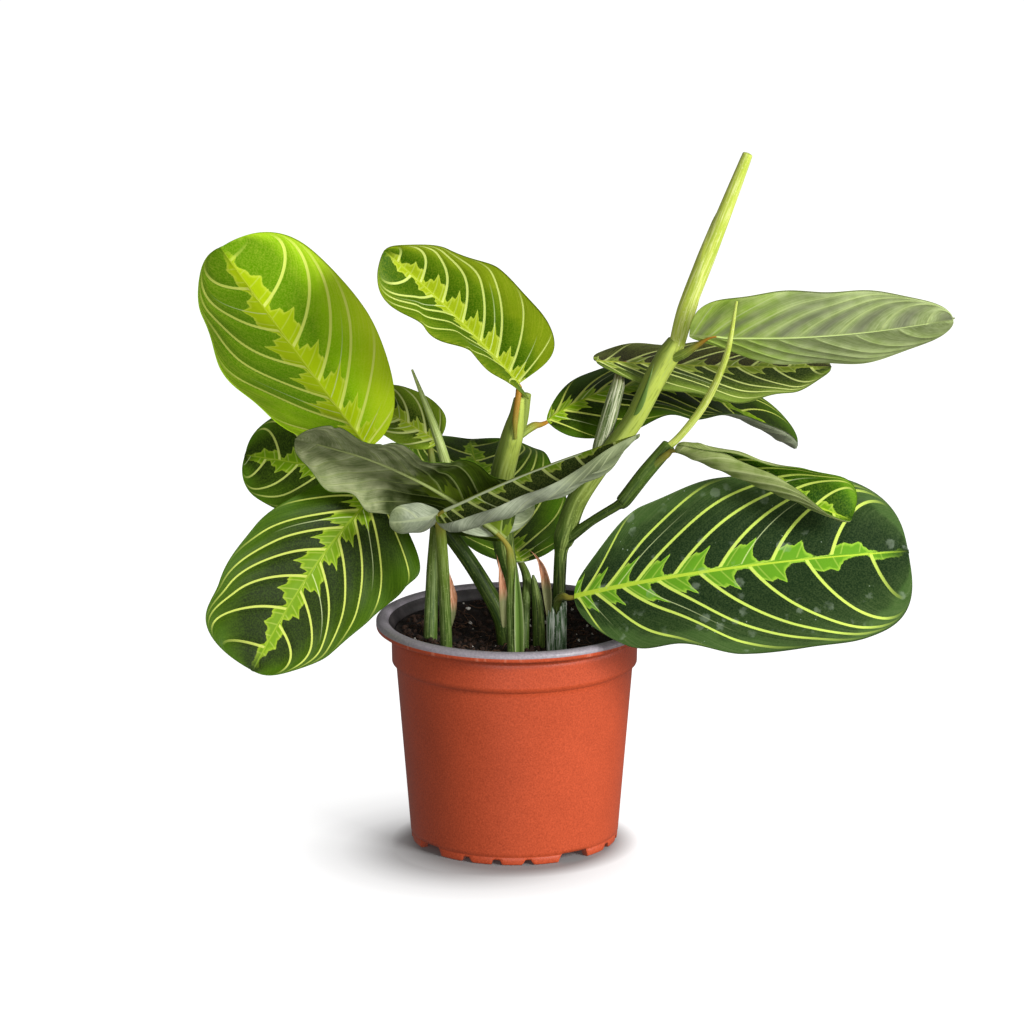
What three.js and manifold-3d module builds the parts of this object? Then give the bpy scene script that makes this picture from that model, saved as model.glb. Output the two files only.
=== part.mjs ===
// Potted prayer plant (maranta) in a thermoformed nursery pot. Millimetres, +Z up.
// The origin is the centre of the pot's foot, and the front of the plant faces -Y.
import * as THREE from "three";
import { mergeVertices } from "three/addons/utils/BufferGeometryUtils.js";
import Module from "manifold-3d";

const wasm = await Module();
wasm.setup();

// Clearance between two pieces that touch.
const GAP = 0.3;
// Slivers finer than this are smoothed away where pieces are joined or cut.
const SLIVER = 0.03;

// The pot: one sheet of plastic drawn over a mould, with a rolled lip and a collar below it.
const POT = {
  height: 99,
  rimRadius: 60,
  lipInnerRadius: 54.6,
  lipHeight: 4.4,
  collarRadius: 53.2,
  collarFoot: 80,
  wallTopRadius: 51.4,
  footRadius: 44.9,
  footRingWidth: 3.6,
  wall: 1,
  floorUnderside: 4.6,
  padRadius: 13,
  sides: 40,
};
// Notches round the foot, as angles from the front towards +X.
const NOTCH = {
  firstWide: 35,
  wideSpan: 20,
  wideHeight: 4,
  smallSpan: 6,
  smallHeight: 2.4,
  smallStep: 17.5,
};
const SOIL = { level: 88, swell: 0.9, rings: 4 };

// Blades: thickness, cells along and across each half, and the outline's rules.
const BLADE = { thickness: 0.7, along: 13, across: 3, tipStart: 0.97, tipWidth: 0.12 };
const ROUND = [2.2, 2.3];
const STEM_SIDES = 8;
const PETIOLE_SIDES = 6;

// Colours and finishes.
const MATERIALS = {
  terracotta: { color: 0xc8593a, roughness: 0.45 },
  peat: { color: 0x2b1f18, roughness: 1 },
  stem: { color: 0x5f8a3f, roughness: 0.45 },
  limeLeaf: { color: 0x6ba51c, roughness: 0.4 },
  darkLeaf: { color: 0x27431d, roughness: 0.4 },
  youngLeaf: { color: 0xa9c445, roughness: 0.4 },
  paleSheath: { color: 0xa9b58c, roughness: 0.5 },
};

const radians = THREE.MathUtils.degToRad;
const lerp = THREE.MathUtils.lerp;
const vector = ([x, y, z]) => new THREE.Vector3(x, y, z);

// A closed solid from its corners and triangles.
function solid(corners, triangles) {
  const vertProperties = new Float32Array(corners.flatMap((p) => [p.x, p.y, p.z]));
  const triVerts = new Uint32Array(triangles.flat());
  return new wasm.Manifold(new wasm.Mesh({ numProp: 3, vertProperties, triVerts }));
}

// A three.js geometry as a closed solid.
function solidOf(geometry) {
  geometry.deleteAttribute("normal");
  geometry.deleteAttribute("uv");
  const merged = mergeVertices(geometry, 1e-4);
  return new wasm.Manifold(
    new wasm.Mesh({
      numProp: 3,
      vertProperties: merged.attributes.position.array,
      triVerts: new Uint32Array(merged.index.array),
    }),
  );
}

// A solid as a named mesh with its finish.
function piece(name, body, finish) {
  const mesh = body.simplify(SLIVER).getMesh();
  const geometry = new THREE.BufferGeometry();
  geometry.setAttribute("position", new THREE.BufferAttribute(mesh.vertProperties, 3));
  geometry.setIndex(new THREE.BufferAttribute(mesh.triVerts, 1));
  geometry.computeVertexNormals();
  const made = new THREE.Mesh(geometry, new THREE.MeshStandardMaterial({ metalness: 0, ...MATERIALS[finish] }));
  made.name = name;
  return made;
}

// A closed tube through its stations [x, y, z, radius], on a smooth curve with `steps` rings a span.
// `extra` grows it all round, for the clearance about it.
function tube(stations, { sides = STEM_SIDES, steps = 2, extra = 0 } = {}) {
  const points = stations.map(vector);
  points[0].addScaledVector(points[0].clone().sub(points[1]).normalize(), extra);
  points.at(-1).addScaledVector(points.at(-1).clone().sub(points.at(-2)).normalize(), extra);
  const curve = new THREE.CatmullRomCurve3(points, false, "catmullrom", 0.5);
  const reach = points[1].clone().sub(points[0]);
  const least = Math.min(...reach.toArray().map(Math.abs));
  const reference = vector(reach.toArray().map((c) => (Math.abs(c) === least ? 1 : 0)));
  const spans = stations.length - 1;
  const rings = spans * steps;
  const corners = [];
  const triangles = [];
  for (let i = 0; i <= rings; i++) {
    const t = i / rings;
    const centre = curve.getPoint(t);
    const along = curve.getTangent(t);
    const u = reference.clone().addScaledVector(along, -reference.dot(along)).normalize();
    const v = along.clone().cross(u);
    const span = Math.min(Math.floor(t * spans), spans - 1);
    const radius = lerp(stations[span][3], stations[span + 1][3], t * spans - span) + extra;
    for (let j = 0; j < sides; j++) {
      const angle = (2 * Math.PI * j) / sides;
      corners.push(
        centre
          .clone()
          .addScaledVector(u, radius * Math.cos(angle))
          .addScaledVector(v, radius * Math.sin(angle)),
      );
    }
  }
  for (let i = 0; i < rings; i++) {
    for (let j = 0; j < sides; j++) {
      const a = i * sides + j;
      const b = i * sides + ((j + 1) % sides);
      triangles.push([a, b, b + sides], [a, b + sides, a + sides]);
    }
  }
  const first = corners.push(points[0]) - 1;
  const last = corners.push(points.at(-1)) - 1;
  for (let j = 0; j < sides; j++) {
    const next = (j + 1) % sides;
    triangles.push([first, next, j], [last, rings * sides + j, rings * sides + next]);
  }
  return solid(corners, triangles);
}

// A value at t from values set at equal steps, running smoothly from each to the next.
function blend(values, t) {
  const place = Math.min(t, 0.999999) * (values.length - 1);
  const index = Math.floor(place);
  return lerp(values[index], values[index + 1], THREE.MathUtils.smoothstep(place - index, 0, 1));
}

// A point, and the direction there, of the parabola through base, middle and tip.
function spineAt([base, middle, tip], t) {
  const weights = [(1 - t) * (1 - 2 * t), 4 * t * (1 - t), t * (2 * t - 1)];
  const slopes = [4 * t - 3, 4 - 8 * t, 4 * t - 1];
  const mix = (w) =>
    vector(base)
      .multiplyScalar(w[0])
      .addScaledVector(vector(middle), w[1])
      .addScaledVector(vector(tip), w[2]);
  return { point: mix(weights), along: mix(slopes).normalize() };
}

// Half-width of a blade at t as a share of its widest: an oval, with the roundness of its base and
// of its tip, closed by a short point.
function outline(t, widest, round) {
  const oval = Math.min(t / BLADE.tipStart, 1);
  const u = 2 * oval ** (Math.log(0.5) / Math.log(widest)) - 1;
  const power = u < 0 ? round[0] : round[1];
  const body = Math.max(1 - Math.abs(u) ** power, 0) ** (1 / power);
  return Math.max(body, t < 0.5 ? 0 : BLADE.tipWidth * (1 - t) ** 0.5);
}

// Frame of a blade at t: its place, its direction, its right side and its upper face.
function bladeFrame(blade, t) {
  const { point, along } = spineAt(blade.spine, t);
  const face = vector(blade.face[0]).lerp(vector(blade.face[1]), t);
  const up = face.addScaledVector(along, -face.dot(along)).normalize();
  const right = along.clone().cross(up);
  return { point, along, up, right };
}

// The upper face and the outward normal of a blade at t and s, -1 and 1 at its left and right margin.
// Each half leaves the midrib at its fold angle, runs straight up to `from` and curls evenly after it;
// `trim` scales its width at equal steps from base to tip.
function bladePoint(blade, t, s) {
  const { point, up, right } = bladeFrame(blade, t);
  const half = s < 0 ? blade.left : blade.right;
  const fold = radians(blend(half.fold, t));
  const from = half.from ?? 0;
  const curl = radians(blend(half.curl, t) || 0.1) / (1 - from);
  const share = Math.abs(s);
  const bent = Math.max(share - from, 0);
  const straight = Math.min(share, from);
  const turned = fold + curl * bent;
  const across = straight * Math.cos(fold) + (Math.sin(turned) - Math.sin(fold)) / curl;
  const rise = straight * Math.sin(fold) + (Math.cos(fold) - Math.cos(turned)) / curl;
  const widest = half.widest ?? blade.widest ?? 0.5;
  const trim = blend(half.trim ?? [1, 1], t);
  const width = (half.width ?? blade.width) * trim * outline(t, widest, half.round ?? blade.round ?? ROUND);
  const side = s < 0 ? -1 : 1;
  const normal = up
    .clone()
    .multiplyScalar(Math.cos(turned))
    .addScaledVector(right, -side * Math.sin(turned));
  const [height, count, phase] = blade.wave;
  const wave = height * share ** 2 * (width / blade.width) * Math.sin(2 * Math.PI * count * t + phase * side);
  point
    .addScaledVector(right, side * width * across)
    .addScaledVector(up, width * rise)
    .addScaledVector(normal, wave);
  return { point, normal };
}

// A blade as a thin solid: both faces on the same grid, joined round the margin.
function bladeSolid(blade) {
  const along = blade.along ?? BLADE.along;
  const across = blade.across ?? BLADE.across;
  const columns = 2 * across + 1;
  const top = [];
  const under = [];
  const add = (t, s) => {
    const { point, normal } = bladePoint(blade, t, s);
    top.push(point);
    under.push(point.clone().addScaledVector(normal, -BLADE.thickness));
  };
  const place = (i) => (1 - Math.cos((Math.PI * i) / along)) / 2;
  add(0, 0);
  for (let i = 1; i < along; i++) {
    for (let j = 0; j < columns; j++) add(place(i), (j - across) / across);
  }
  add(1, 0);
  const tip = top.length - 1;
  const at = (i, j) => {
    if (i === 0) return 0;
    return i === along ? tip : 1 + (i - 1) * columns + j;
  };
  const faces = [];
  for (let i = 0; i < along; i++) {
    for (let j = 0; j < columns - 1; j++) {
      if (i > 0) faces.push([at(i, j), at(i, j + 1), at(i + 1, j + 1)]);
      if (i < along - 1 || i === 0) faces.push([at(i, j), at(i + 1, j + 1), at(i + 1, j)]);
    }
  }
  const rim = [0];
  for (let i = 1; i < along; i++) rim.push(at(i, columns - 1));
  rim.push(tip);
  for (let i = along - 1; i > 0; i--) rim.push(at(i, 0));
  const below = top.length;
  const triangles = faces.flatMap(([a, b, c]) => [
    [a, b, c],
    [a + below, c + below, b + below],
  ]);
  rim.forEach((a, i) => {
    const b = rim[(i + 1) % rim.length];
    triangles.push([a + below, b + below, b], [a + below, b, a]);
  });
  return solid([...top, ...under], triangles);
}

// A leaf: its blade, with its petiole running on as the rib under the midrib. The petiole meets the
// blade at its base, or a little in from it where the base has lobes behind the petiole.
function leaf(blade) {
  const ribs = [blade.attach ?? 0, 0.16, 0.4, 0.65, 0.88];
  const ribRadius = blade.rib ?? 1.3;
  const stations = [...blade.petiole];
  ribs.forEach((t) => {
    const { point, up } = bladeFrame(blade, t);
    const radius = ribRadius * (1 - t) ** 0.8 + 0.25;
    point.addScaledVector(up, -0.4 * radius - BLADE.thickness / 2);
    stations.push([...point.toArray(), radius]);
  });
  const whole = bladeSolid(blade).add(tube(stations, { sides: PETIOLE_SIDES }));
  return (blade.extra ?? []).reduce((rest, one) => rest.add(bladeSolid(one)), whole);
}

// The same piece cut clear of its neighbours, given as tubes.
const clearOf = (body, ...neighbours) =>
  neighbours.reduce((rest, stations) => rest.subtract(tube(stations, { extra: GAP })), body);

// Stems, from their foot in the soil upwards.
const FOOT = 76;
const LEFT_STEM = [
  [-3, -7, FOOT, 3.9],
  [-4, -7, 92, 3.9],
  [-7, -6, 103, 3.7],
  [-18, -3, 122, 3.4],
  [-30, 1, 138, 3.3],
  [-40, 4, 148, 3.2],
  [-44, 5, 151, 2.8],
];
const CENTRE_STEM = [
  [1, 3, FOOT, 3.6],
  [0.5, 1, 92, 3.5],
  [0, 0, 104, 3.5],
  [-1.5, -5.5, 116, 3.6],
  [-5, -6, 136, 4.6],
  [-5.5, -4, 160, 5.3],
  [-1, -4, 180, 4.8],
  [1, -5, 190, 3.2],
  [2, -5, 197, 2.4],
];
const CENTRE_STUB = [
  [-1, -2, 176, 3],
  [3, -1, 186, 2.6],
  [5, 0, 198, 2.2],
];
const RIGHT_STEM = [
  [18, -7, FOOT, 3],
  [18, -7, 92, 2.9],
  [19, -7, 108, 2.7],
  [20, -6, 129, 2.8],
  [21.5, -6, 136, 4.6],
  [27, -4, 152, 4.5],
  [39, -2, 170, 4.3],
  [51, 0, 186, 4.4],
  [60, 0, 204, 4.8],
  [66, 0, 215, 5],
  [69, 0, 221, 3.6],
];
const BRANCH = [
  [21, -7, 134, 2.6],
  [33, -10, 144, 1.9],
  [44, -12, 151.5, 2],
  [47, -12, 154, 3.2],
  [56, -12, 166, 3.3],
  [66, -12, 178, 3.2],
];

// Leaves. The spine runs through the midrib's base, middle and tip; `face` is the way the upper face
// looks at the base and at the tip. Angles are in degrees at the base and at the tip.
const level = (fold, curl = 0) => ({ fold: [fold, fold], curl: [curl, curl] });
const LEAVES = {
  leaf_upper_left: {
    finish: "limeLeaf",
    spine: [[-63, 4, 173], [-93, -18, 221], [-126, -32, 272]],
    face: [[-0.1, -0.91, -0.4], [-0.1, -0.91, -0.4]],
    width: 37,
    left: { ...level(-10, -8), width: 36, widest: 0.5, trim: [1, 1.1, 1.13, 0.98, 0.85] },
    right: { ...level(-10, -4), width: 35.5, widest: 0.55, round: [2.2, 2.6], trim: [1, 0.96, 1, 1, 1.04] },
    wave: [1, 3, 1],
    petiole: [[-43, 5, 150, 1.7], [-53, 6, 162, 1.7]],
    cut: [LEFT_STEM],
  },
  leaf_upper_centre: {
    finish: "limeLeaf",
    spine: [[2, -6, 204], [-28, -30, 242], [-56, -56, 274]],
    face: [[0.73, -0.68, 0.05], [0.73, -0.68, 0.05]],
    width: 31,
    widest: 0.46,
    round: [2.8, 2.3],
    left: { fold: [58, 54, 51, 40, 0], curl: [4, 4], trim: [1, 1.05, 1.12, 1.15, 1.15] },
    right: { ...level(38, 4), width: 28.5, widest: 0.38, trim: [1, 1, 1, 0.82, 0.55] },
    wave: [0.9, 3, 2],
    petiole: [[2, -5, 198, 1.9]],
    cut: [CENTRE_STEM],
  },
  leaf_far_left: {
    finish: "darkLeaf",
    spine: [[-63, 12, 158.5], [-90, 27, 160], [-120, 44, 160.5]],
    face: [[-0.45, -0.75, 0.48], [-0.45, -0.75, 0.48]],
    width: 21,
    left: { ...level(10, 0), width: 23 },
    right: { ...level(10, 0), width: 23 },
    wave: [1.2, 3, 0],
    petiole: [[-36, 3, 144, 1.5], [-48, 9, 151, 1.5], [-56, 11, 155.5, 1.4]],
    cut: [LEFT_STEM],
  },
  leaf_lower_left: {
    finish: "darkLeaf",
    spine: [[-57, -2, 157], [-86, -27, 128], [-113, -52, 86]],
    face: [[0.4, -0.88, 0.3], [0.4, -0.88, 0.3]],
    width: 38,
    left: { ...level(-8, -4), widest: 0.38, trim: [1.35, 1.1, 0.97, 0.94, 0.75] },
    right: { ...level(-8, -4), width: 36, widest: 0.58, trim: [0.9, 0.78, 0.87, 0.93, 1.3] },
    wave: [1, 3, 1],
    petiole: [[-40, 2, 147, 1.7], [-48, 1, 152, 1.7]],
    cut: [LEFT_STEM],
  },
  leaf_small_back: {
    finish: "darkLeaf",
    spine: [[-33, 16, 173], [-49, 28, 180], [-66, 42, 186]],
    face: [[-0.35, -0.85, 0.35], [-0.35, -0.85, 0.4]],
    width: 17,
    left: { ...level(8, 0), width: 10 },
    right: { ...level(8, 0), width: 14.3, widest: 0.4, round: [2.8, 2.3] },
    wave: [1, 2, 0],
    attach: 0.18,
    petiole: [
      [-36.5, -4, FOOT, 3],
      [-36.5, -4, 92, 3],
      [-35.5, 4, 118, 2.8],
      [-34, 14, 145, 2.2],
      [-36, 17, 166, 1.5],
    ],
    rib: 1.1,
  },
  leaf_front_left: {
    finish: "darkLeaf",
    spine: [[-4, -24, 140], [-47, -31, 171], [-96, -38, 188]],
    face: [[0, 0.6, 0.8], [0, 0.55, 0.83]],
    width: 29,
    widest: 0.5,
    left: { fold: [52, 14, 0, -4, 0], curl: [30, 4, -8, -10, 0], trim: [1, 0.95, 0.85, 1.15, 1.5] },
    right: { fold: [6, 0], curl: [0, -30, -150, -160], from: 0.5, trim: [1, 1, 1.15, 1.25, 1.2] },
    wave: [1.6, 4, 1],
    across: 4,
    extra: [
      {
        spine: [[-4.6, -22, 100], [-5.4, -23.5, 120], [-8, -24.5, 134]],
        face: [[0.2, -1, 0], [0.2, -1, 0]],
        width: 2.2,
        widest: 0.35,
        left: level(10, 30),
        right: level(10, 30),
        wave: [0, 1, 0],
        along: 7,
        across: 1,
      },
    ],
    petiole: [
      [-1, -22, FOOT, 2.3],
      [-1, -22, 94, 2.3],
      [-1.5, -22, 112, 2.3],
      [-1.5, -23, 129, 2.1],
    ],
    rib: 1.5,
  },
  leaf_front_right: {
    finish: "darkLeaf",
    spine: [[-33, -40, 155.5], [7, -56, 178], [54, -74, 199]],
    face: [[-0.2, 0, 1], [-0.3, 0.2, 1]],
    width: 27,
    widest: 0.42,
    left: { fold: [-55, -62, -58, -20], curl: [70, 60], from: 0.3 },
    right: { fold: [-62, -62, -58, -35], curl: [160, 120], from: 0.4 },
    wave: [1.2, 4, 2],
    across: 4,
    extra: [
      {
        spine: [[-31, -40, 155], [-42, -42, 153], [-54, -42, 152]],
        face: [[0, 1, 0], [0, 1, 0.1]],
        width: 7.5,
        widest: 0.6,
        left: level(10, 30),
        right: level(10, 30),
        wave: [0.4, 2, 0],
        along: 8,
        across: 2,
      },
      {
        spine: [[-28, -23, 98], [-27, -25.5, 114], [-28, -28, 127]],
        face: [[0.4, -0.9, 0], [0.3, -0.9, 0]],
        width: 2.9,
        widest: 0.6,
        left: level(10, 20),
        right: level(10, 20),
        wave: [0, 1, 0],
        along: 7,
        across: 1,
      },
    ],
    petiole: [
      [-29.5, -22, FOOT, 2.6],
      [-29.5, -22, 94, 2.6],
      [-30.5, -30, 128, 2.5],
      [-31.5, -37, 147, 2.2],
    ],
    rib: 1.3,
  },
  leaf_back: {
    finish: "darkLeaf",
    spine: [[3, 4, 122.5], [-13, 62, 141], [-20, 108, 153]],
    face: [[0.1, -0.3, 0.95], [0.1, -0.25, 0.97]],
    width: 33,
    round: [2.7, 2.8],
    left: level(8, 4),
    right: level(8, 0),
    wave: [1.5, 3, 1],
    attach: 0.07,
    petiole: [
      [4, -17, FOOT, 2.2],
      [4, -17, 92, 2.2],
      [4.6, -11, 106, 2.1],
      [5.2, -2, 117, 2],
    ],
    rib: 1.5,
  },
  leaf_middle_right: {
    finish: "darkLeaf",
    spine: [[14, 10, 184], [68, 52, 189], [128, 58, 157]],
    face: [[0.22, -0.2, 0.95], [0.22, -0.15, 0.96]],
    width: 26,
    left: { ...level(0, 0), widest: 0.6, round: [1.7, 2.3] },
    right: { fold: [-20, -6, 10], curl: [-14, 10, 70], from: 0.3, round: [2.8, 2.3] },
    wave: [1.4, 3, 1],
    petiole: [[1, -1, 179, 1.8], [8, 5, 182.5, 1.8]],
    cut: [CENTRE_STEM, CENTRE_STUB],
  },
  leaf_back_right: {
    finish: "darkLeaf",
    spine: [[35, 8, 211], [92, 36, 202], [141, 44, 200]],
    face: [[0.13, -0.26, 0.96], [0.13, -0.26, 0.96]],
    width: 25,
    left: { ...level(-4, 0), round: [1.9, 2.1] },
    right: { ...level(-4, -4), round: [1.9, 2], trim: [1, 1, 1.04, 0.9, 0.7] },
    wave: [1.2, 3, 2],
    attach: 0.1,
    petiole: [[34, 0, 163, 1.5], [37, 2, 174, 3.4], [41, 4.5, 188, 3.6], [44.5, 7, 200, 3]],
    cut: [RIGHT_STEM],
  },
  leaf_top_right: {
    finish: "limeLeaf",
    spine: [[74.5, -11.5, 226.5], [132, -14, 227], [190, -18, 236]],
    face: [[0, 0.75, 0.66], [0, 0.75, 0.66]],
    width: 27,
    left: { ...level(8, 0), widest: 0.56, round: [1.9, 2], trim: [0.5, 0.95, 1, 1, 0.9] },
    right: { ...level(10, 0), widest: 0.44, round: [2.5, 2] },
    wave: [1, 3, 1],
    attach: 0.08,
    petiole: [[66, 0, 213, 2.1], [73, -6.5, 217.5, 2]],
    cut: [RIGHT_STEM],
  },
  leaf_curled_right: {
    finish: "darkLeaf",
    spine: [[69, -18.5, 178], [107, -34, 166], [145, -46, 153]],
    face: [[0, -0.5, 0.85], [0, -0.4, 0.9]],
    width: 17,
    widest: 0.6,
    left: { fold: [10, 10, 40], curl: [190, 150, 20], width: 15, widest: 0.74, round: [2.6, 3], trim: [1, 1, 1.1, 1.4] },
    right: { fold: [10, 0], curl: [200, 150, 60], width: 12.5, widest: 0.66, round: [2.6, 2.3] },
    wave: [0.6, 3, 1],
    across: 4,
    petiole: [[59, -13, 169, 1.6], [65, -16.5, 175, 1.5]],
    cut: [BRANCH],
    rib: 1.1,
  },
  leaf_lower_right: {
    finish: "darkLeaf",
    spine: [[25.5, -31, 116.5], [93, -42, 132], [173, -34, 137.5]],
    face: [[-0.15, -0.7, 0.68], [-0.15, -0.79, 0.6]],
    width: 42,
    widest: 0.5,
    round: [2.2, 2.7],
    left: { ...level(4, 0), trim: [0.6, 0.95, 1, 1, 1.05] },
    right: { ...level(4, 0), width: 43.5, widest: 0.58, round: [2.2, 3], trim: [1, 1.02, 0.87, 0.97, 1, 1.01, 1.1] },
    wave: [1.4, 3, 1],
    petiole: [[18, -19, 99, 1.8], [18, -19, 107, 1.8], [18.6, -21, 112, 1.7], [21, -26, 115, 1.6]],
    rib: 1.6,
  },
};

// Rolled young leaves, and the sheaths and dry bracts at the stems.
const ROLLED = {
  young_leaf_tall: {
    stations: [
      [69, 0, 218, 3.4],
      [73.5, 0, 235, 4],
      [82, 0, 258, 3.9],
      [90, 0, 279, 3.2],
      [96.5, 0, 296, 2.5],
      [99, 0, 303, 2.2],
    ],
    cut: [RIGHT_STEM],
  },
  young_leaf_right: {
    stations: [
      [64, -12, 176, 1.6],
      [72, -13, 184, 1.6],
      [82, -16, 199, 1.7],
      [90, -23, 220, 1.4],
      [94, -29, 245, 0.5],
    ],
    cut: [BRANCH],
  },
  young_leaf_left: {
    stations: [
      [-30, 2, 140, 2],
      [-29, 3, 153, 2.4],
      [-29, 3, 164, 2.4],
      [-35, 3, 184, 1.8],
      [-44, 3, 208, 0.5],
    ],
    cut: [LEFT_STEM],
  },
};

const CUT_SHEATH = {
  place: [18, -19],
  radius: 4.4,
  bore: 3.4,
  boreFloor: 98,
  top: 111,
  notch: 5,
  strip: {
    spine: [[14.6, -21, 104], [12.6, -26, 126], [5.4, -26, 136]],
    face: [[-0.4, -0.9, 0], [-0.3, -0.9, -0.3]],
    width: 2.4,
    widest: 0.4,
    left: level(12, 40),
    right: level(12, 40),
    wave: [0, 1, 0],
    along: 7,
    across: 1,
  },
};
const CLOSED_SHEATH = [
  [10.5, -10, FOOT, 2.7],
  [10.5, -10, 92, 2.7],
  [10, -10, 106, 2.5],
  [8.6, -9.5, 116, 1.5],
  [8, -9.5, 120, 0.5],
];

// A lathe turned from a profile of radius and height.
const turned = (profile, sides) =>
  solidOf(new THREE.LatheGeometry(profile.map(([r, z]) => new THREE.Vector2(r, z)), sides).rotateX(Math.PI / 2));

// A wedge with slanted ends that cuts one notch through the foot ring.
function footNotch(angle, span, height) {
  const width = 2 * POT.footRadius * Math.sin(radians(span / 2));
  const shape = new THREE.Shape();
  shape.moveTo(-width / 2, -1);
  shape.lineTo(width / 2, -1);
  shape.lineTo(width / 2 - 0.35 * height, height);
  shape.lineTo(-width / 2 + 0.35 * height, height);
  const depth = POT.footRingWidth + 5;
  const geometry = new THREE.ExtrudeGeometry(shape, { depth, bevelEnabled: false, steps: 1 });
  geometry.rotateX(Math.PI / 2).translate(0, -(POT.footRadius - POT.footRingWidth - 1), 0);
  return solidOf(geometry.rotateZ(radians(angle)));
}

function pot() {
  const inner = (radius) => radius - POT.wall;
  const lipFoot = POT.height - POT.lipHeight;
  const ringInner = POT.footRadius - POT.footRingWidth;
  const floorTop = POT.floorUnderside + POT.wall;
  const profile = [
    [0, 0],
    [POT.padRadius, 0],
    [POT.padRadius + 1.8, POT.floorUnderside],
    [ringInner, POT.floorUnderside],
    [ringInner + 0.4, 0],
    [POT.footRadius - 0.6, 0],
    [POT.footRadius, 0.8],
    [POT.footRadius + 0.3, 3.6],
    [POT.wallTopRadius, POT.collarFoot - 1.5],
    [POT.collarRadius, POT.collarFoot],
    [POT.collarRadius + 0.3, lipFoot],
    [POT.rimRadius - 0.7, lipFoot],
    [POT.rimRadius, lipFoot + 1.1],
    [POT.rimRadius, lipFoot + 3],
    [POT.rimRadius - 1.2, POT.height - 0.3],
    [POT.rimRadius - 2.6, POT.height],
    [POT.lipInnerRadius + 1, POT.height - 0.4],
    [POT.lipInnerRadius, POT.height - 1.6],
    [inner(POT.collarRadius), lipFoot - 1],
    [inner(POT.collarRadius), POT.collarFoot + 0.4],
    [inner(POT.wallTopRadius), POT.collarFoot - 1.1],
    [inner(POT.footRadius) + 0.4, floorTop],
    [POT.padRadius + 1.4, floorTop],
    [POT.padRadius - 0.4, POT.wall],
    [0, POT.wall],
  ];
  let body = turned(profile, POT.sides);
  for (let quarter = 0; quarter < 4; quarter++) {
    const wide = NOTCH.firstWide + 90 * quarter;
    body = body.subtract(footNotch(wide, NOTCH.wideSpan, NOTCH.wideHeight));
    [1, 2, 3].forEach((step) => {
      const angle = wide + 45 + NOTCH.smallStep * (step - 2);
      body = body.subtract(footNotch(angle, NOTCH.smallSpan, NOTCH.smallHeight));
    });
  }
  return body;
}

// Peat fills the pot to its level, with a gently uneven top and a plain hole for each stem.
function soil(stems) {
  const clear = POT.wall + GAP;
  const floor = POT.floorUnderside + POT.wall + GAP;
  const top = POT.collarRadius - clear;
  const profile = [
    [0, POT.wall + GAP],
    [POT.padRadius - 0.8, POT.wall + GAP],
    [POT.padRadius + 1, floor],
    [POT.footRadius - clear + 0.3, floor],
    [POT.wallTopRadius - clear, POT.collarFoot - 1.1],
    [top, POT.collarFoot + 0.8],
    [top, SOIL.level],
  ];
  for (let ring = SOIL.rings - 1; ring >= 0; ring--) profile.push([(top * ring) / SOIL.rings, SOIL.level]);
  const geometry = new THREE.LatheGeometry(
    profile.map(([r, z]) => new THREE.Vector2(r, z)),
    POT.sides,
  ).rotateX(Math.PI / 2);
  const place = geometry.attributes.position;
  for (let i = 0; i < place.count; i++) {
    const [x, y, z] = [place.getX(i), place.getY(i), place.getZ(i)];
    const bump = Math.sin(0.19 * x + 1) * Math.cos(0.23 * y) + 0.5 * Math.sin(0.41 * x - 0.37 * y);
    const inside = 1 - (Math.hypot(x, y) / top) ** 4;
    if (z > SOIL.level - 1e-6) place.setZ(i, z + SOIL.swell * bump * Math.max(inside, 0));
  }
  return stems.reduce(
    (rest, [stations, sides]) => rest.subtract(tube(stations, { sides, extra: GAP })),
    solidOf(geometry),
  );
}

// The cut sheath is a short upright tube whose rim has a V notch in front and behind.
function cutSheath() {
  const [x, y] = CUT_SHEATH.place;
  const upright = (low, high, radius) => tube([[x, y, low, radius], [x, y, high, radius]], { steps: 1 });
  const shape = new THREE.Shape();
  shape.moveTo(-3, 1);
  shape.lineTo(0, -CUT_SHEATH.notch);
  shape.lineTo(3, 1);
  const notch = new THREE.ExtrudeGeometry(shape, { depth: 16, bevelEnabled: false, steps: 1 })
    .rotateX(Math.PI / 2)
    .translate(x, y + 8, CUT_SHEATH.top);
  return upright(FOOT, CUT_SHEATH.top, CUT_SHEATH.radius)
    .subtract(upright(CUT_SHEATH.boreFloor, CUT_SHEATH.top + 1, CUT_SHEATH.bore))
    .subtract(solidOf(notch))
    .add(bladeSolid(CUT_SHEATH.strip));
}

const root = new THREE.Group();
root.add(piece("pot", pot(), "terracotta"));
const cutSheathAxis = [FOOT, CUT_SHEATH.top].map((z) => [...CUT_SHEATH.place, z, CUT_SHEATH.radius]);
const rooted = [
  ...[LEFT_STEM, CENTRE_STEM, RIGHT_STEM, cutSheathAxis].map((stations) => [stations, STEM_SIDES]),
  ...[CLOSED_SHEATH, LEAVES.leaf_small_back.petiole, LEAVES.leaf_front_left.petiole].map((stations) => [
    stations,
    PETIOLE_SIDES,
  ]),
  ...[LEAVES.leaf_front_right.petiole, LEAVES.leaf_back.petiole].map((stations) => [stations, PETIOLE_SIDES]),
];
root.add(piece("soil", soil(rooted), "peat"));
root.add(piece("stem_left", tube(LEFT_STEM), "stem"));
root.add(piece("stem_centre", tube(CENTRE_STEM).add(tube(CENTRE_STUB)), "stem"));
root.add(piece("stem_right", tube(RIGHT_STEM).add(tube(BRANCH)), "stem"));
root.add(piece("sheath_cut", cutSheath(), "paleSheath"));
root.add(piece("sheath_closed", tube(CLOSED_SHEATH, { sides: PETIOLE_SIDES }), "paleSheath"));
for (const [name, blade] of Object.entries(LEAVES)) {
  root.add(piece(name, clearOf(leaf(blade), ...(blade.cut ?? [])), blade.finish));
}
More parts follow.
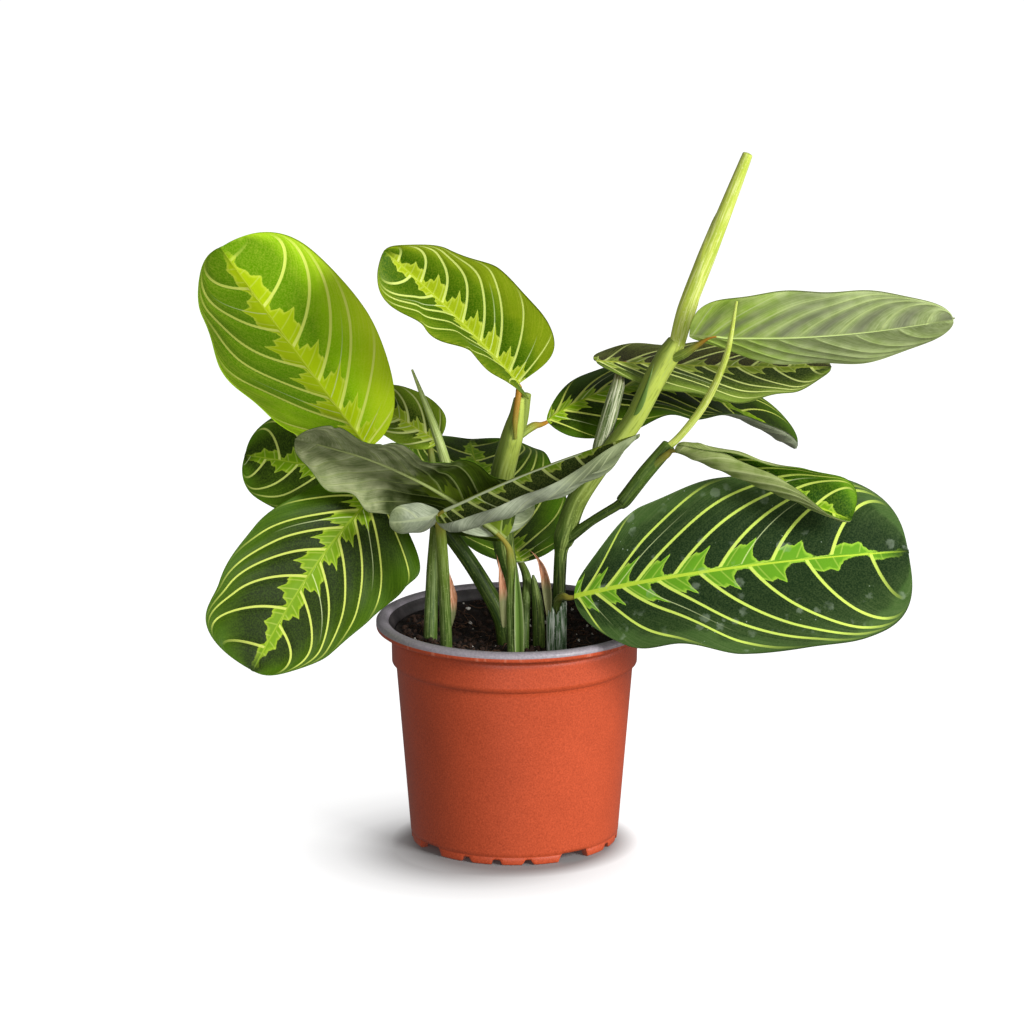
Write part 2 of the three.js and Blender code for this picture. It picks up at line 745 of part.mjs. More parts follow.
for (const [name, roll] of Object.entries(ROLLED)) {
  root.add(piece(name, clearOf(tube(roll.stations), ...roll.cut), "youngLeaf"));
}

export default root;
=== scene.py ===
"""Potted prayer plant: the fine surfaces, materials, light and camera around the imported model.

Lengths in the tables are in millimetres and become metres where a mesh is made. The origin is the
centre of the pot's foot, +Z is up and the front of the plant faces -Y.
"""
import functools
import math
from types import SimpleNamespace

import bpy
import numpy as np
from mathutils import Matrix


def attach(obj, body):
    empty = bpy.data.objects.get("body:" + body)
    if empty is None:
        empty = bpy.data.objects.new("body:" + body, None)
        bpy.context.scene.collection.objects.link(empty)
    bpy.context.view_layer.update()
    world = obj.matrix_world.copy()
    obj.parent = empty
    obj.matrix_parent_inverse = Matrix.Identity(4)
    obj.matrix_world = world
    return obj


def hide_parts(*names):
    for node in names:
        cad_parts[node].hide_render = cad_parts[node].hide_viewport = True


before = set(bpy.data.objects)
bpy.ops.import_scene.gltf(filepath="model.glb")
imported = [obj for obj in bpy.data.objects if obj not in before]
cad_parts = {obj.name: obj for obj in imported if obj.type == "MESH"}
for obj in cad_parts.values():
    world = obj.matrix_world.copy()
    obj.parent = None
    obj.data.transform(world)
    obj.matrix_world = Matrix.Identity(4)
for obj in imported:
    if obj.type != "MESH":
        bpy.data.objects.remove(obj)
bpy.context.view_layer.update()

MM = 0.001
TURN = 2 * math.pi

# The camera's distance from the plant's middle and its elevation, the middle's place, the picture's
# side in picture elements, the size of one of them at the middle, and the sensor's width.
CAMERA_DISTANCE = 2600.0
CAMERA_ELEVATION = math.radians(14.4)
CAMERA_X = -1.08
CAMERA_Z = 145.7
PICTURE = 1024
PICTURE_ELEMENT = 0.4317
SENSOR = 36.0


def linear(hex_colour):
    """sRGB hex to linear RGBA: c / 12.92 up to 0.04045, else ((c + 0.055) / 1.055) to the power 2.4."""
    channels = np.array([int(hex_colour[i : i + 2], 16) for i in (1, 3, 5)]) / 255
    curve = ((channels + 0.055) / 1.055) ** 2.4
    return (*np.where(channels <= 0.04045, channels / 12.92, curve).tolist(), 1.0)


# The attribute that a kind of node is mostly set by.
MODE = {
    "Math": "operation", "VectorMath": "operation", "MapRange": "interpolation_type",
    "Mix": "data_type", "Attribute": "attribute_name", "TexWhiteNoise": "noise_dimensions",
}


def add(tree, kind, inputs=(), out=0, stops=()):
    """Adds a node and gives one of its outputs.

    `kind` is the node's kind and, after a space, the attribute that MODE names for it. Inputs go by place
    or by key, each a number, a hex colour or another node's output, and stops are a ramp's places, each
    with a colour or a grey.
    """
    kind, _, mode = kind.partition(" ")
    made = tree.nodes.new(f"ShaderNode{kind}")
    if mode:
        setattr(made, MODE[kind], mode)
    for key, value in inputs.items() if isinstance(inputs, dict) else enumerate(inputs):
        if isinstance(value, bpy.types.NodeSocket):
            tree.links.new(value, made.inputs[key])
        else:
            made.inputs[key].default_value = linear(value) if isinstance(value, str) else value
    for index, (place, colour) in enumerate(stops):
        elements = made.color_ramp.elements
        element = elements[index] if index < 2 else elements.new(place)
        element.position = place
        element.color = linear(colour) if isinstance(colour, str) else (colour, colour, colour, 1)
    return made.outputs[out]


def principled(name, **sockets):
    """A new Principled material whose sockets hold plain values, with `add` for its own tree."""
    material = bpy.data.materials.new(name)
    material.use_nodes = True
    for key, value in sockets.items():
        material.node_tree.nodes["Principled BSDF"].inputs[key.replace("_", " ")].default_value = value
    return functools.partial(add, material.node_tree), material


def dressed(material, colour, height, strength, distance):
    """The material with its colour and, from a height, a relief up to `distance` metres deep."""
    tree = material.node_tree
    bump = add(tree, "Bump", {"Height": height, "Strength": strength, "Distance": distance})
    for output, socket in ((colour, "Base Color"), (bump, "Normal")):
        tree.links.new(output, tree.nodes["Principled BSDF"].inputs[socket])
    return material


def patch_of(grid, closed=False, slot=0, flip=False, **facts):
    """A patch from a grid of points, rows by columns, its columns joined round where it is closed."""
    rows, columns = grid.shape[:2]
    index = np.arange(rows * columns).reshape(rows, columns)
    if closed:
        index = np.concatenate([index, index[:, :1]], axis=1)
    corners = [index[:-1, :-1], index[:-1, 1:], index[1:, 1:], index[1:, :-1]]
    quads = np.stack(corners, axis=-1).reshape(-1, 4)
    if flip:
        quads = quads[:, ::-1]
    facts = {name: np.broadcast_to(values, (rows, columns)).ravel() for name, values in facts.items()}
    slots = np.full(len(quads), slot)
    return {"points": grid.reshape(-1, 3), "faces": quads, "slot": slots, "facts": facts}


def join(patches):
    """Patches as one: their points, faces, slots and facts run on after each other."""
    names = sorted({name for patch in patches for name in patch["facts"]})
    starts = np.cumsum([0] + [len(patch["points"]) for patch in patches[:-1]])
    return {
        "points": np.concatenate([patch["points"] for patch in patches]),
        "faces": np.concatenate([patch["faces"] + start for patch, start in zip(patches, starts)]),
        "slot": np.concatenate([patch["slot"] for patch in patches]),
        "facts": {
            name: np.concatenate([patch["facts"].get(name, 0 * patch["points"][:, 0]) for patch in patches])
            for name in names
        },
    }


def make(name, patch, materials, weld=0.002):
    """A smooth mesh object from a patch in millimetres: points that fall together are made one, and a
    face keeps the corners that stay apart."""
    points = patch["points"]
    cells = np.round(points / weld).astype(np.int64)
    _, first, place = np.unique(cells, axis=0, return_index=True, return_inverse=True)
    faces = place.reshape(-1)[patch["faces"]]
    apart = faces != np.roll(faces, -1, axis=1)
    whole = apart.sum(axis=1) > 2
    faces, apart = faces[whole], apart[whole]
    sides = apart.sum(axis=1)
    mesh = bpy.data.meshes.new(name)
    mesh.vertices.add(len(first))
    mesh.vertices.foreach_set("co", (points[first] * MM).ravel())
    mesh.loops.add(int(sides.sum()))
    mesh.loops.foreach_set("vertex_index", faces[apart])
    mesh.polygons.add(len(faces))
    mesh.polygons.foreach_set("loop_start", np.concatenate([[0], np.cumsum(sides)[:-1]]))
    mesh.polygons.foreach_set("material_index", patch["slot"][whole])
    mesh.polygons.foreach_set("use_smooth", np.ones(len(faces), dtype=bool))
    for fact, values in patch["facts"].items():
        data = mesh.attributes.new(fact, "FLOAT", "POINT").data
        data.foreach_set("value", values[first].astype(np.float32))
    mesh.update(calc_edges=True)
    mesh.validate()
    for material in materials:
        mesh.materials.append(material)
    made = bpy.data.objects.new(name, mesh)
    bpy.context.scene.collection.objects.link(made)
    return made


def stand_for(made, slot, *nodes):
    """The piece rides on the part and stands for CAD nodes; `slot` is not used."""
    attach(made, "root")
    if nodes:
        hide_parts(*nodes)


def smooth(values):
    """The smooth step of values between 0 and 1: 3x^2 - 2x^3."""
    x = np.clip(values, 0, 1)
    return x * x * (3 - 2 * x)


def blend(values, t):
    """Values set at equal steps, running with the smooth step from each to the next, read at t."""
    place = np.minimum(t, 0.999999) * (len(values) - 1)
    index = place.astype(int)
    values = np.asarray(values, dtype=float)
    return values[index] + (values[index + 1] - values[index]) * smooth(place - index)


def unit(vectors):
    """Vectors scaled to length one."""
    return vectors / np.maximum(np.linalg.norm(vectors, axis=-1, keepdims=True), 1e-9)


def rough(points, size, seed, waves=24):
    """Soft noise from -1 to 1: the sum of plane waves of random direction and phase, about `size` long,
    over the root of their number."""
    random = np.random.default_rng(seed)
    direction = unit(random.normal(size=(waves, points.shape[-1])))
    length = size * random.uniform(0.6, 1.6, waves)
    phase = random.uniform(0, TURN, waves)
    return np.sin(points @ (direction / length[:, None] * TURN).T + phase).sum(axis=-1) / math.sqrt(waves)


def curve(stations, steps):
    """Points, directions and radii along stations (x, y, z, radius).

    Each span is a cubic whose slope at a station is half the chord between its neighbours, and the
    radius runs straight from station to station.
    """
    rows = np.asarray(stations, dtype=float)
    points = rows[:, :3]
    ends = np.concatenate([[2 * points[0] - points[1]], points, [2 * points[-1] - points[-2]]])
    slope = (ends[2:] - ends[:-2]) / 2
    spans = len(rows) - 1
    place = np.linspace(0, spans, spans * steps + 1)
    index = np.minimum(place.astype(int), spans - 1)
    f = (place - index)[:, None]
    a, b, p, q = points[index], points[index + 1], slope[index], slope[index + 1]
    at = (2 * f**3 - 3 * f**2 + 1) * a + (f**3 - 2 * f**2 + f) * p
    at = at + (3 * f**2 - 2 * f**3) * b + (f**3 - f**2) * q
    along = (6 * f**2 - 6 * f) * (a - b) + (3 * f**2 - 4 * f + 1) * p + (3 * f**2 - 2 * f) * q
    radius = rows[index, 3] + (rows[index + 1, 3] - rows[index, 3]) * f[:, 0]
    return at, unit(along), radius


# The rings of a tube's rounded end: their radii, and how far it stands out, as shares of its radius.
CAP = np.array([0.0, 0.45, 0.75, 0.93])
CAP_RISE = 0.35


def tube(stations, sides=20, steps=10, relief=None, slot=0):
    """A closed round tube: centre + radius (u cos a + v sin a), its two ends rounded off.

    `relief` gives the share to add to the radius from the angle and the length run so far. Its facts
    are the two coordinates round the tube and the length run.
    """
    at, along, radius = curve(stations, steps)
    length = np.concatenate([[0], np.cumsum(np.linalg.norm(np.diff(at, axis=0), axis=1))])
    rise = np.sqrt(1 - CAP[:, None] ** 2)
    low_cap = at[0] - along[0] * radius[0] * CAP_RISE * rise
    high_cap = at[-1] + along[-1] * radius[-1] * CAP_RISE * rise[::-1]
    at = np.concatenate([low_cap, at, high_cap])
    along = np.pad(along, ((len(CAP), len(CAP)), (0, 0)), mode="edge")
    length = np.pad(length, len(CAP), mode="edge")
    radius = np.concatenate([radius[0] * CAP, radius, radius[-1] * CAP[::-1]])
    reference = np.eye(3)[np.argmin(np.abs(along[len(CAP)]))]
    u = unit(reference - along * (along @ reference)[:, None])
    v = np.cross(along, u)
    angle = np.linspace(0, TURN, sides, endpoint=False)
    reach = radius[:, None] * np.ones(sides)
    if relief is not None:
        reach = reach * (1 + relief(angle[None, :], length[:, None]))
    round_x, round_y = np.cos(angle)[None, :], np.sin(angle)[None, :]
    ring = u[:, None] * round_x[..., None] + v[:, None] * round_y[..., None]
    grid = at[:, None] + reach[..., None] * ring
    return patch_of(grid, closed=True, slot=slot, round_x=round_x, round_y=round_y, run=length[:, None])


# Blades: faces along and across a half, thickness and quilting in millimetres, where the short tip
# starts, its half-width and end, the outline's powers towards base and tip, and the share of the
# half-width that is drawn. Side veins: how many to a side, how they crowd to the tip, where the first
# stands and how far the right half's lie behind the left's.
BLADE_FACTS = ("vein", "across", "reach", "crowd", "along")
BLADE_ROWS = 120
BLADE_COLUMNS = 34
BLADE_THICKNESS = 0.5
BLADE_QUILT = 0.3
TIP_START = 0.97
TIP_WIDTH = 0.12
TIP_END = 0.972
ROUND = (2.2, 2.3)
INSET = 0.994
VEINS = 8.0
VEIN_GROWTH = 0.68
VEIN_START = -0.7
SIDE_SHIFT = 0.4


def spine(blade, t):
    """The parabola through base, middle and tip: base (1-t)(1-2t) + middle 4t(1-t) + tip t(2t-1)."""
    base, middle, tip = (np.asarray(p, dtype=float) for p in blade["spine"])
    t = t[:, None]
    point = (1 - t) * (1 - 2 * t) * base + 4 * t * (1 - t) * middle + t * (2 * t - 1) * tip
    return point, unit((4 * t - 3) * base + (4 - 8 * t) * middle + (4 * t - 1) * tip)


def outline(t, widest, roundness):
    """Half-width as a share: (1 - |u|^n)^(1/n) with u = 2 t^k - 1, n by the side, and a short tip."""
    oval = np.minimum(t / TIP_START, 1)
    u = 2 * oval ** (math.log(0.5) / math.log(widest)) - 1
    power = np.where(u < 0, roundness[0], roundness[1])
    body = np.maximum(1 - np.abs(u) ** power, 0) ** (1 / power)
    return np.maximum(body, np.where(t < 0.5, 0, TIP_WIDTH * np.sqrt(1 - t)))


def blade_frame(blade, t):
    """Place, upper face and right side along the midrib."""
    point, along = spine(blade, t)
    low, high = (np.asarray(blade["face"][end], dtype=float) for end in (0, -1))
    face = low + (high - low) * t[:, None]
    up = unit(face - along * np.sum(face * along, axis=1)[:, None])
    return point, up, np.cross(along, up)


def half_surface(blade, side, t, share):
    """One half of a blade: straight from the midrib at its fold angle f, then curling evenly by c.

    across = s0 cos f + (sin(f + c b) - sin f) / c and rise = s0 sin f + (cos f - cos(f + c b)) / c, where
    b is the share past `start`, both times the half-width; the wave stands along the normal.
    """
    point, up, right = blade_frame(blade, t)
    own = {**blade, **blade["left" if side < 0 else "right"]}
    start = own.get("start", 0)
    fold = np.radians(blend(own["fold"], t))[:, None]
    curl = blend(own["curl"], t)
    curl = np.radians(np.where(np.abs(curl) < 0.1, 0.1, curl))[:, None] / (1 - start)
    bent = np.maximum(share - start, 0)[None, :]
    straight = np.minimum(share, start)[None, :]
    turned = fold + curl * bent
    across = straight * np.cos(fold) + (np.sin(turned) - np.sin(fold)) / curl
    rise = straight * np.sin(fold) + (np.cos(fold) - np.cos(turned)) / curl
    shape = outline(t, own.get("widest", 0.5), own.get("round", ROUND)) * blend(own.get("trim", [1, 1]), t)
    for place, depth, span in own.get("nicks", ()):
        shape = shape * (1 - depth * np.exp(-(((t - place) / span) ** 2)))
    width = INSET * own["width"] * shape
    normal = np.cos(turned)[..., None] * up[:, None] - side * np.sin(turned)[..., None] * right[:, None]
    height, count, phase = blade["wave"]
    wave = height * share[None, :] ** 2 * shape[:, None] * np.sin(TURN * count * t + phase * side)[:, None]
    at = (
        point[:, None]
        + side * (width[:, None] * across)[..., None] * right[:, None]
        + (width[:, None] * rise)[..., None] * up[:, None]
        + wave[..., None] * normal
    )
    return at, normal, width


def vein_count(t, share, veins, slant=1.0):
    """How many side veins start before the one through (t, share).

    The vein that starts at t0 passes t = t0 + (1 - t0) k h(s), with k = 1 - exp(-(t0 + 0.01) / 0.16) and
    h = 0.35 s + 0.65 (1 - sqrt(1 - s^2)), slanted more where `slant` is over 1, and VEIN_START +
    veins t0^VEIN_GROWTH of them start before t0.
    """
    start = np.linspace(0, 1, 400)
    lean = 1 - np.exp(-(start + 0.01) / 0.16)
    sweep = 0.35 * share + 0.65 * (1 - np.sqrt(np.maximum(1 - share**2, 0)))
    sweep = 1 - (1 - sweep) ** slant
    count = VEIN_START + veins * start**VEIN_GROWTH
    counted = [np.interp(t, start + (1 - start) * lean * h, count) for h in sweep]
    return np.stack(counted, axis=1)


def blade_patches(blade, slots):
    """Both faces of a blade and its rim, quilted a little between its side veins, with its pattern's
    facts: the count of side veins, the share across, the millimetres from the midrib, how crowded the
    side veins are to the millimetre, and the share along. Rows stand at (1 - cos) / 2 of the way, and
    the blade is as thin as 0.35 of its thickness at its margin."""
    turned = math.pi * np.linspace(0, 1, blade.get("rows", BLADE_ROWS) + 1)
    t = blade.get("end", TIP_END) * (1 - np.cos(turned)) / 2
    share = np.linspace(0, 1, blade.get("columns", BLADE_COLUMNS) + 1)
    quilt, pattern = blade.get("quilt", BLADE_QUILT), blade.get("pattern", 1)
    halves = []
    for side in (-1, 1):
        at, normal, width = half_surface(blade, side, t, share)
        slant = blade["left" if side < 0 else "right"].get("slant", 1)
        veins = vein_count(t, share, blade.get("veins", VEINS), slant) + (SIDE_SHIFT if side > 0 else 0)
        reach = width[:, None] * share[None, :]
        down = np.linalg.norm(np.gradient(at, axis=0), axis=-1) + 1e-3
        over = np.linalg.norm(np.gradient(at, axis=1), axis=-1) + 1e-3
        crowd = np.hypot(np.gradient(veins, axis=0) / down, np.gradient(veins, axis=1) / over)
        crowd = np.clip(crowd, 0.03, 0.6)
        near = np.abs((veins + 0.5) % 1 - 0.5) / crowd
        calm = smooth(reach / 3) * smooth(4 - 4 * share) * (smooth(12 * t) * smooth(12 - 12 * t))[:, None]
        swell = np.minimum(near / 4, 1) - np.exp(-((near / 0.9) ** 2))
        at = at + (quilt * (calm * swell - 0.6 * smooth(reach / 2)))[..., None] * normal
        facts = [veins, side * share + 0 * veins, reach * pattern, crowd, t[:, None] + 0 * veins]
        halves.append(np.concatenate([at, normal, np.stack(facts, axis=-1)], axis=-1))
    left, right = halves
    right[:, 0, 3:6] = unit(right[:, 0, 3:6] + left[:, 0, 3:6])
    whole = np.concatenate([left[:, :0:-1], right], axis=1)
    top, normal = whole[..., :3], whole[..., 3:6]
    facts = dict(zip(BLADE_FACTS, np.moveaxis(whole[..., 6:], -1, 0)))
    margin = np.minimum(1, 12 - 12 * np.abs(facts["across"]) + 0.35)
    thin = smooth(facts["reach"].max(axis=1) / pattern / 1.5)[:, None] * margin
    under = top - normal * (BLADE_THICKNESS * thin)[..., None]
    rims = [
        patch_of(
            np.stack([top[:, column], under[:, column]], axis=1),
            slot=slots[0],
            flip=flip,
            **{name: values[:, column, None] for name, values in facts.items()},
        )
        for column, flip in ((0, False), (-1, True))
    ]
    return [patch_of(top, slot=slots[0], **facts), patch_of(under, slot=slots[1], flip=True, **facts), *rims]


PETIOLE_SIDES = 18
PETIOLE_STEPS = 12


def grooved(angle, run):
    """A petiole's shallow ridges: 3% of the radius, three round it, and finer ones that turn along it."""
    return 0.03 * np.cos(3 * angle + 1) + 0.012 * np.cos(7 * angle + 0.02 * run)


def leaf_patch(blade):
    """A leaf: its blade, the petiole that runs on as the rib under the midrib, and its extra blades.

    The rib takes the underside's finish, with the midrib's facts. Slots: 0 upper face, 1 underside,
    2 stalk, 3 dry bract. An extra blade with no halves of its own is a bract.
    """
    ribs = np.array([blade.get("attach", 0), 0.16, 0.4, 0.65, 0.88])
    point, up, _ = blade_frame(blade, ribs)
    radius = blade.get("rib", 1.3) * (1 - ribs) ** 0.8 + 0.25
    centre = point - up * (0.5 * radius + 0.3)[:, None]
    stations = [*blade["petiole"], *np.column_stack([centre, 0.55 * radius]).tolist()]
    petiole = tube(stations, sides=PETIOLE_SIDES, steps=PETIOLE_STEPS, relief=grooved)
    away = np.linalg.norm(petiole["points"] - centre[0], axis=1)
    petiole["facts"]["knee"] = np.exp(-((away / blade.get("knee", 8.0)) ** 2))
    rows = len(petiole["points"]) // PETIOLE_SIDES
    row = np.arange(rows) - len(CAP) - len(blade["petiole"]) * PETIOLE_STEPS
    petiole["facts"]["along"] = np.repeat(np.interp(row / PETIOLE_STEPS, np.arange(5), ribs), PETIOLE_SIDES)
    petiole["facts"]["crowd"] = np.full(rows * PETIOLE_SIDES, 0.1)
    petiole["slot"] = np.repeat(np.where(row[:-1] >= PETIOLE_STEPS // 3, 1, 2), PETIOLE_SIDES)
    patches = [*blade_patches(blade, (0, 1)), petiole]
    for extra in blade.get("extra", ()):
        dry, slot = ({}, 1) if "left" in extra else (BRACT, 3)
        patches.extend(blade_patches({**SMALL, **extra, **dry}, (slot, slot)))
    return join(patches)


def half(fold, curl=0, **more):
    """A half of a blade: its fold and curl in degrees, one number where they stay from base to tip."""
    fold, curl = (angle if isinstance(angle, list) else [angle, angle] for angle in (fold, curl))
    return {"fold": fold, "curl": curl, **more}


# Small blades have fewer rows and veins, and a dry bract is narrow and runs out to a point.
SMALL = {"rows": 48, "columns": 8, "quilt": 0.05, "veins": 1.2}
POINTED = half(12, 40, trim=[0.9, 1, 0.85, 0.5, 0.2], round=(1.7, 1.2))
BRACT = {"left": POINTED, "right": POINTED, "end": 0.99}

FOOT = 76
DROOP = [1, 1, 1, 1.05, 1.6]

# Leaves: spine through the midrib's base, middle and tip; the way the upper face looks at base and tip,
# or once for both; half-width; wave as height, count and phase; petiole from its foot; and, where a
# leaf's own, the side veins to a side, how much smaller its lobes are drawn, and its extra blades.
LEAVES = {
    "leaf_upper_left": dict(
        spine=[[-63, 4, 173], [-93, -18, 221], [-126, -32, 272]], face=[[-0.1, -0.91, -0.4]],
        left=half(-10, -8, width=36, widest=0.5, trim=[1, 1.1, 1.13, 0.98, 0.85]),
        right=half(-10, -4, width=35.5, widest=0.55, round=[2.2, 2.6], trim=[1, 0.96, 1, 1, 1.04]),
        wave=[1, 3, 1], veins=6.7, petiole=[[-43, 5, 150, 1.7], [-53, 6, 162, 1.7]],
    ),
    "leaf_upper_centre": dict(
        spine=[[2, -6, 204], [-28, -30, 242], [-56, -56, 274]], face=[[0.73, -0.68, 0.05]],
        width=31, widest=0.46, round=[2.8, 2.3], wave=[0.9, 3, 2], knee=20,
        left=half([58, 54, 51, 40, 0], 4, trim=[1, 1.05, 1.12, 1.15, 1.15], slant=2.2),
        right=half(38, 4, width=28.5, widest=0.38, trim=[1, 1, 1, 0.82, 0.55]),
        petiole=[[0.4, -9.4, 180.5, 0.7], [0.3, -9.3, 188, 1.2], [1.2, -8, 196, 1.3], [1.8, -6.4, 201, 1.3]],
    ),
    "leaf_far_left": dict(
        spine=[[-63, 12, 158.5], [-90, 27, 160], [-120, 44, 160.5]], face=[[-0.45, -0.75, 0.48]],
        width=23, left=half(10), right=half(10), wave=[1.2, 3, 0], veins=5.4, pattern=1.2,
        petiole=[[-36, 3, 144, 1.5], [-48, 9, 151, 1.5], [-56, 11, 155.5, 1.4]],
    ),
    "leaf_lower_left": dict(
        spine=[[-57, -2, 157], [-86, -27, 128], [-113, -52, 86]], face=[[0.4, -0.88, 0.3]],
        left=half(-8, -4, width=38, widest=0.38, trim=[1.35, 1.1, 0.97, 0.94, 0.75]),
        right=half(-8, -4, width=36, widest=0.58, trim=[0.9, 0.78, 0.87, 0.93, 1.3]),
        wave=[1, 3, 1], petiole=[[-40, 2, 147, 1.7], [-48, 1, 152, 1.7]],
    ),
    "leaf_small_back": dict(
        spine=[[-33, 16, 173], [-49, 28, 180], [-66, 42, 186]], wave=[1, 2, 0],
        face=[[-0.35, -0.85, 0.35], [-0.35, -0.85, 0.4]], attach=0.18, rib=1.1, veins=4.2, pattern=1.9,
        left=half(8, width=10), right=half(8, width=14.3, widest=0.4, round=[2.8, 2.3]),
        petiole=[
            [-36.5, -4, FOOT, 3], [-36.5, -4, 92, 3], [-35.5, 4, 118, 2.8], [-34, 14, 145, 2.2],
            [-36, 17, 166, 1.5],
        ],
    ),
    "leaf_front_left": dict(
        spine=[[-4, -24, 140], [-47, -31, 171], [-96, -38, 188]], face=[[0, 0.6, 0.8], [0, 0.55, 0.83]],
        width=29, wave=[1.6, 4, 1], rib=1.5,
        left=half(
            [52, 14, 0, -4, 0], [30, 4, -8, -10, 0], trim=[1, 0.95, 0.85, 1.15, 1.5],
            nicks=[(0.4, 0.1, 0.02), (0.5, 0.07, 0.015), (0.67, 0.12, 0.012), (0.86, 0.1, 0.01)],
        ),
        right=half([6, 0], [0, -30, -150, -160], start=0.5, trim=[1, 1, 1.15, 1.25, 1.2]),
        extra=[
            dict(
                spine=[[-4.6, -22, 100], [-5.4, -23.5, 120], [-8, -24.5, 134]], face=[[0.2, -1, 0]],
                width=2.2, widest=0.35, wave=[0, 1, 0],
            ),
        ],
        petiole=[[-1, -22, FOOT, 2.3], [-1, -22, 94, 2.3], [-1.5, -22, 112, 2.3], [-1.5, -23, 129, 2.1]],
    ),
    "leaf_front_right": dict(
        spine=[[-33, -40, 155.5], [7, -56, 178], [54, -74, 199]], face=[[-0.2, 0, 1], [-0.3, 0.2, 1]],
        width=27, widest=0.42, wave=[1.2, 4, 2],
        left=half([-55, -62, -58, -20], [70, 60], start=0.3),
        right=half([-62, -62, -58, -35], [160, 120], start=0.4),
        # A lobe at the leaf's base, the stalk's bract, and the margin that hangs behind the other stalk.
        extra=[
            dict(
                spine=[[-31, -40, 155], [-42, -42, 153], [-54, -42, 152]], face=[[0, 1, 0], [0, 1, 0.1]],
                width=7.5, widest=0.6, left=half(10, 30), right=half(10, 30), wave=[0.4, 2, 0],
            ),
            dict(
                spine=[[-28, -23, 98], [-27, -25.5, 114], [-28, -28, 127]], width=2.9, widest=0.6,
                face=[[0.4, -0.9, 0], [0.3, -0.9, 0]], wave=[0, 1, 0],
            ),
            dict(
                spine=[[-30, -37, 154], [-8, -20, 148.5], [8, -18, 157]], face=[[0, 1, 0.1]],
                width=8.2, widest=0.56, left=half(-6, -20), right=half(-6, -20), wave=[0.5, 2, 0],
            ),
        ],
        petiole=[
            [-29.5, -22, FOOT, 2.6], [-29.5, -22, 94, 2.6], [-30.5, -30, 128, 2.5], [-31.5, -37, 147, 2.2],
        ],
    ),
    "leaf_back": dict(
        spine=[[3, 4, 122.5], [-13, 62, 141], [-20, 108, 153]], face=[[0.1, -0.3, 0.95], [0.1, -0.25, 0.97]],
        width=33, round=[2.7, 2.8], left=half(8, 4), right=half(8), wave=[1.5, 3, 1],
        attach=0.07, rib=1.5, veins=9,
        petiole=[[4, -17, FOOT, 2.2], [4, -17, 92, 2.2], [4.6, -11, 106, 2.1], [5.2, -2, 117, 2]],
    ),
    "leaf_middle_right": dict(
        spine=[[14, 10, 184], [68, 52, 189], [128, 58, 157]], face=[[0.22, -0.2, 0.95], [0.22, -0.15, 0.96]],
        width=26, wave=[1.4, 3, 1], pattern=1.5,
        left=half(0, widest=0.6, round=[1.7, 2.3], trim=DROOP),
        right=half([-20, -6, 10], [-14, 10, 70], start=0.3, round=[2.8, 2.3], trim=DROOP),
        petiole=[[1, -1, 179, 1.8], [8, 5, 182.5, 1.8]],
    ),
    "leaf_back_right": dict(
        spine=[[35, 8, 211], [92, 36, 202], [141, 44, 200]], face=[[0.13, -0.26, 0.96]],
        width=25, wave=[1.2, 3, 2], attach=0.1,
        left=half(-4, round=[1.9, 2.1]), right=half(-4, -4, round=[1.9, 2], trim=[1, 1, 1.04, 0.9, 0.7]),
        petiole=[[34, 0, 163, 1.5], [37, 2, 174, 3.4], [41, 4.5, 188, 3.6], [44.5, 7, 200, 3]],
    ),
    "leaf_top_right": dict(
        spine=[[74.5, -11.5, 226.5], [132, -14, 227], [190, -18, 236]], face=[[0, 0.75, 0.66]],
        width=27, wave=[1, 3, 1], attach=0.08, end=0.976, rib=0.5,
        left=half(8, widest=0.56, round=[1.9, 2], trim=[0.5, 0.95, 1, 1, 0.9]),
        right=half(10, widest=0.44, round=[2.5, 2]), petiole=[[66, 0, 213, 2.1], [73, -6.5, 217.5, 2]],
    ),
    "leaf_curled_right": dict(
        spine=[[69, -18.5, 178], [107, -34, 166], [145, -46, 153]], face=[[0, -0.5, 0.85], [0, -0.4, 0.9]],
        left=half(
            [10, 10, 40], [190, 150, 20], width=15, widest=0.55, round=(3.4, 3), trim=[1, 1, 1.1, 1.4],
        ),
        right=half([10, 0], [200, 150, 60], width=12.5, widest=0.5, round=(3.6, 2.3)),
        wave=[0.6, 3, 1], rib=1.1, petiole=[[59, -13, 169, 1.6], [65, -16.5, 175, 1.5]],
    ),
    "leaf_lower_right": dict(
        spine=[[25.5, -31, 116.5], [93, -42, 132], [173, -34, 137.5]], width=42, wave=[1.4, 3, 1], rib=1.6,
        face=[[-0.15, -0.7, 0.68], [-0.15, -0.79, 0.6]],
        left=half(4, widest=0.5, round=[2.2, 2.7], trim=[0.6, 0.95, 1, 1, 1.05]),
        right=half(4, width=43.5, widest=0.58, round=[2.2, 3], trim=[1, 1.02, 0.87, 0.97, 1, 1.01, 1.1]),
        petiole=[[18, -19, 99, 1.8], [18, -19, 107, 1.8], [18.6, -21, 112, 1.7], [21, -26, 115, 1.6]],
    ),
}

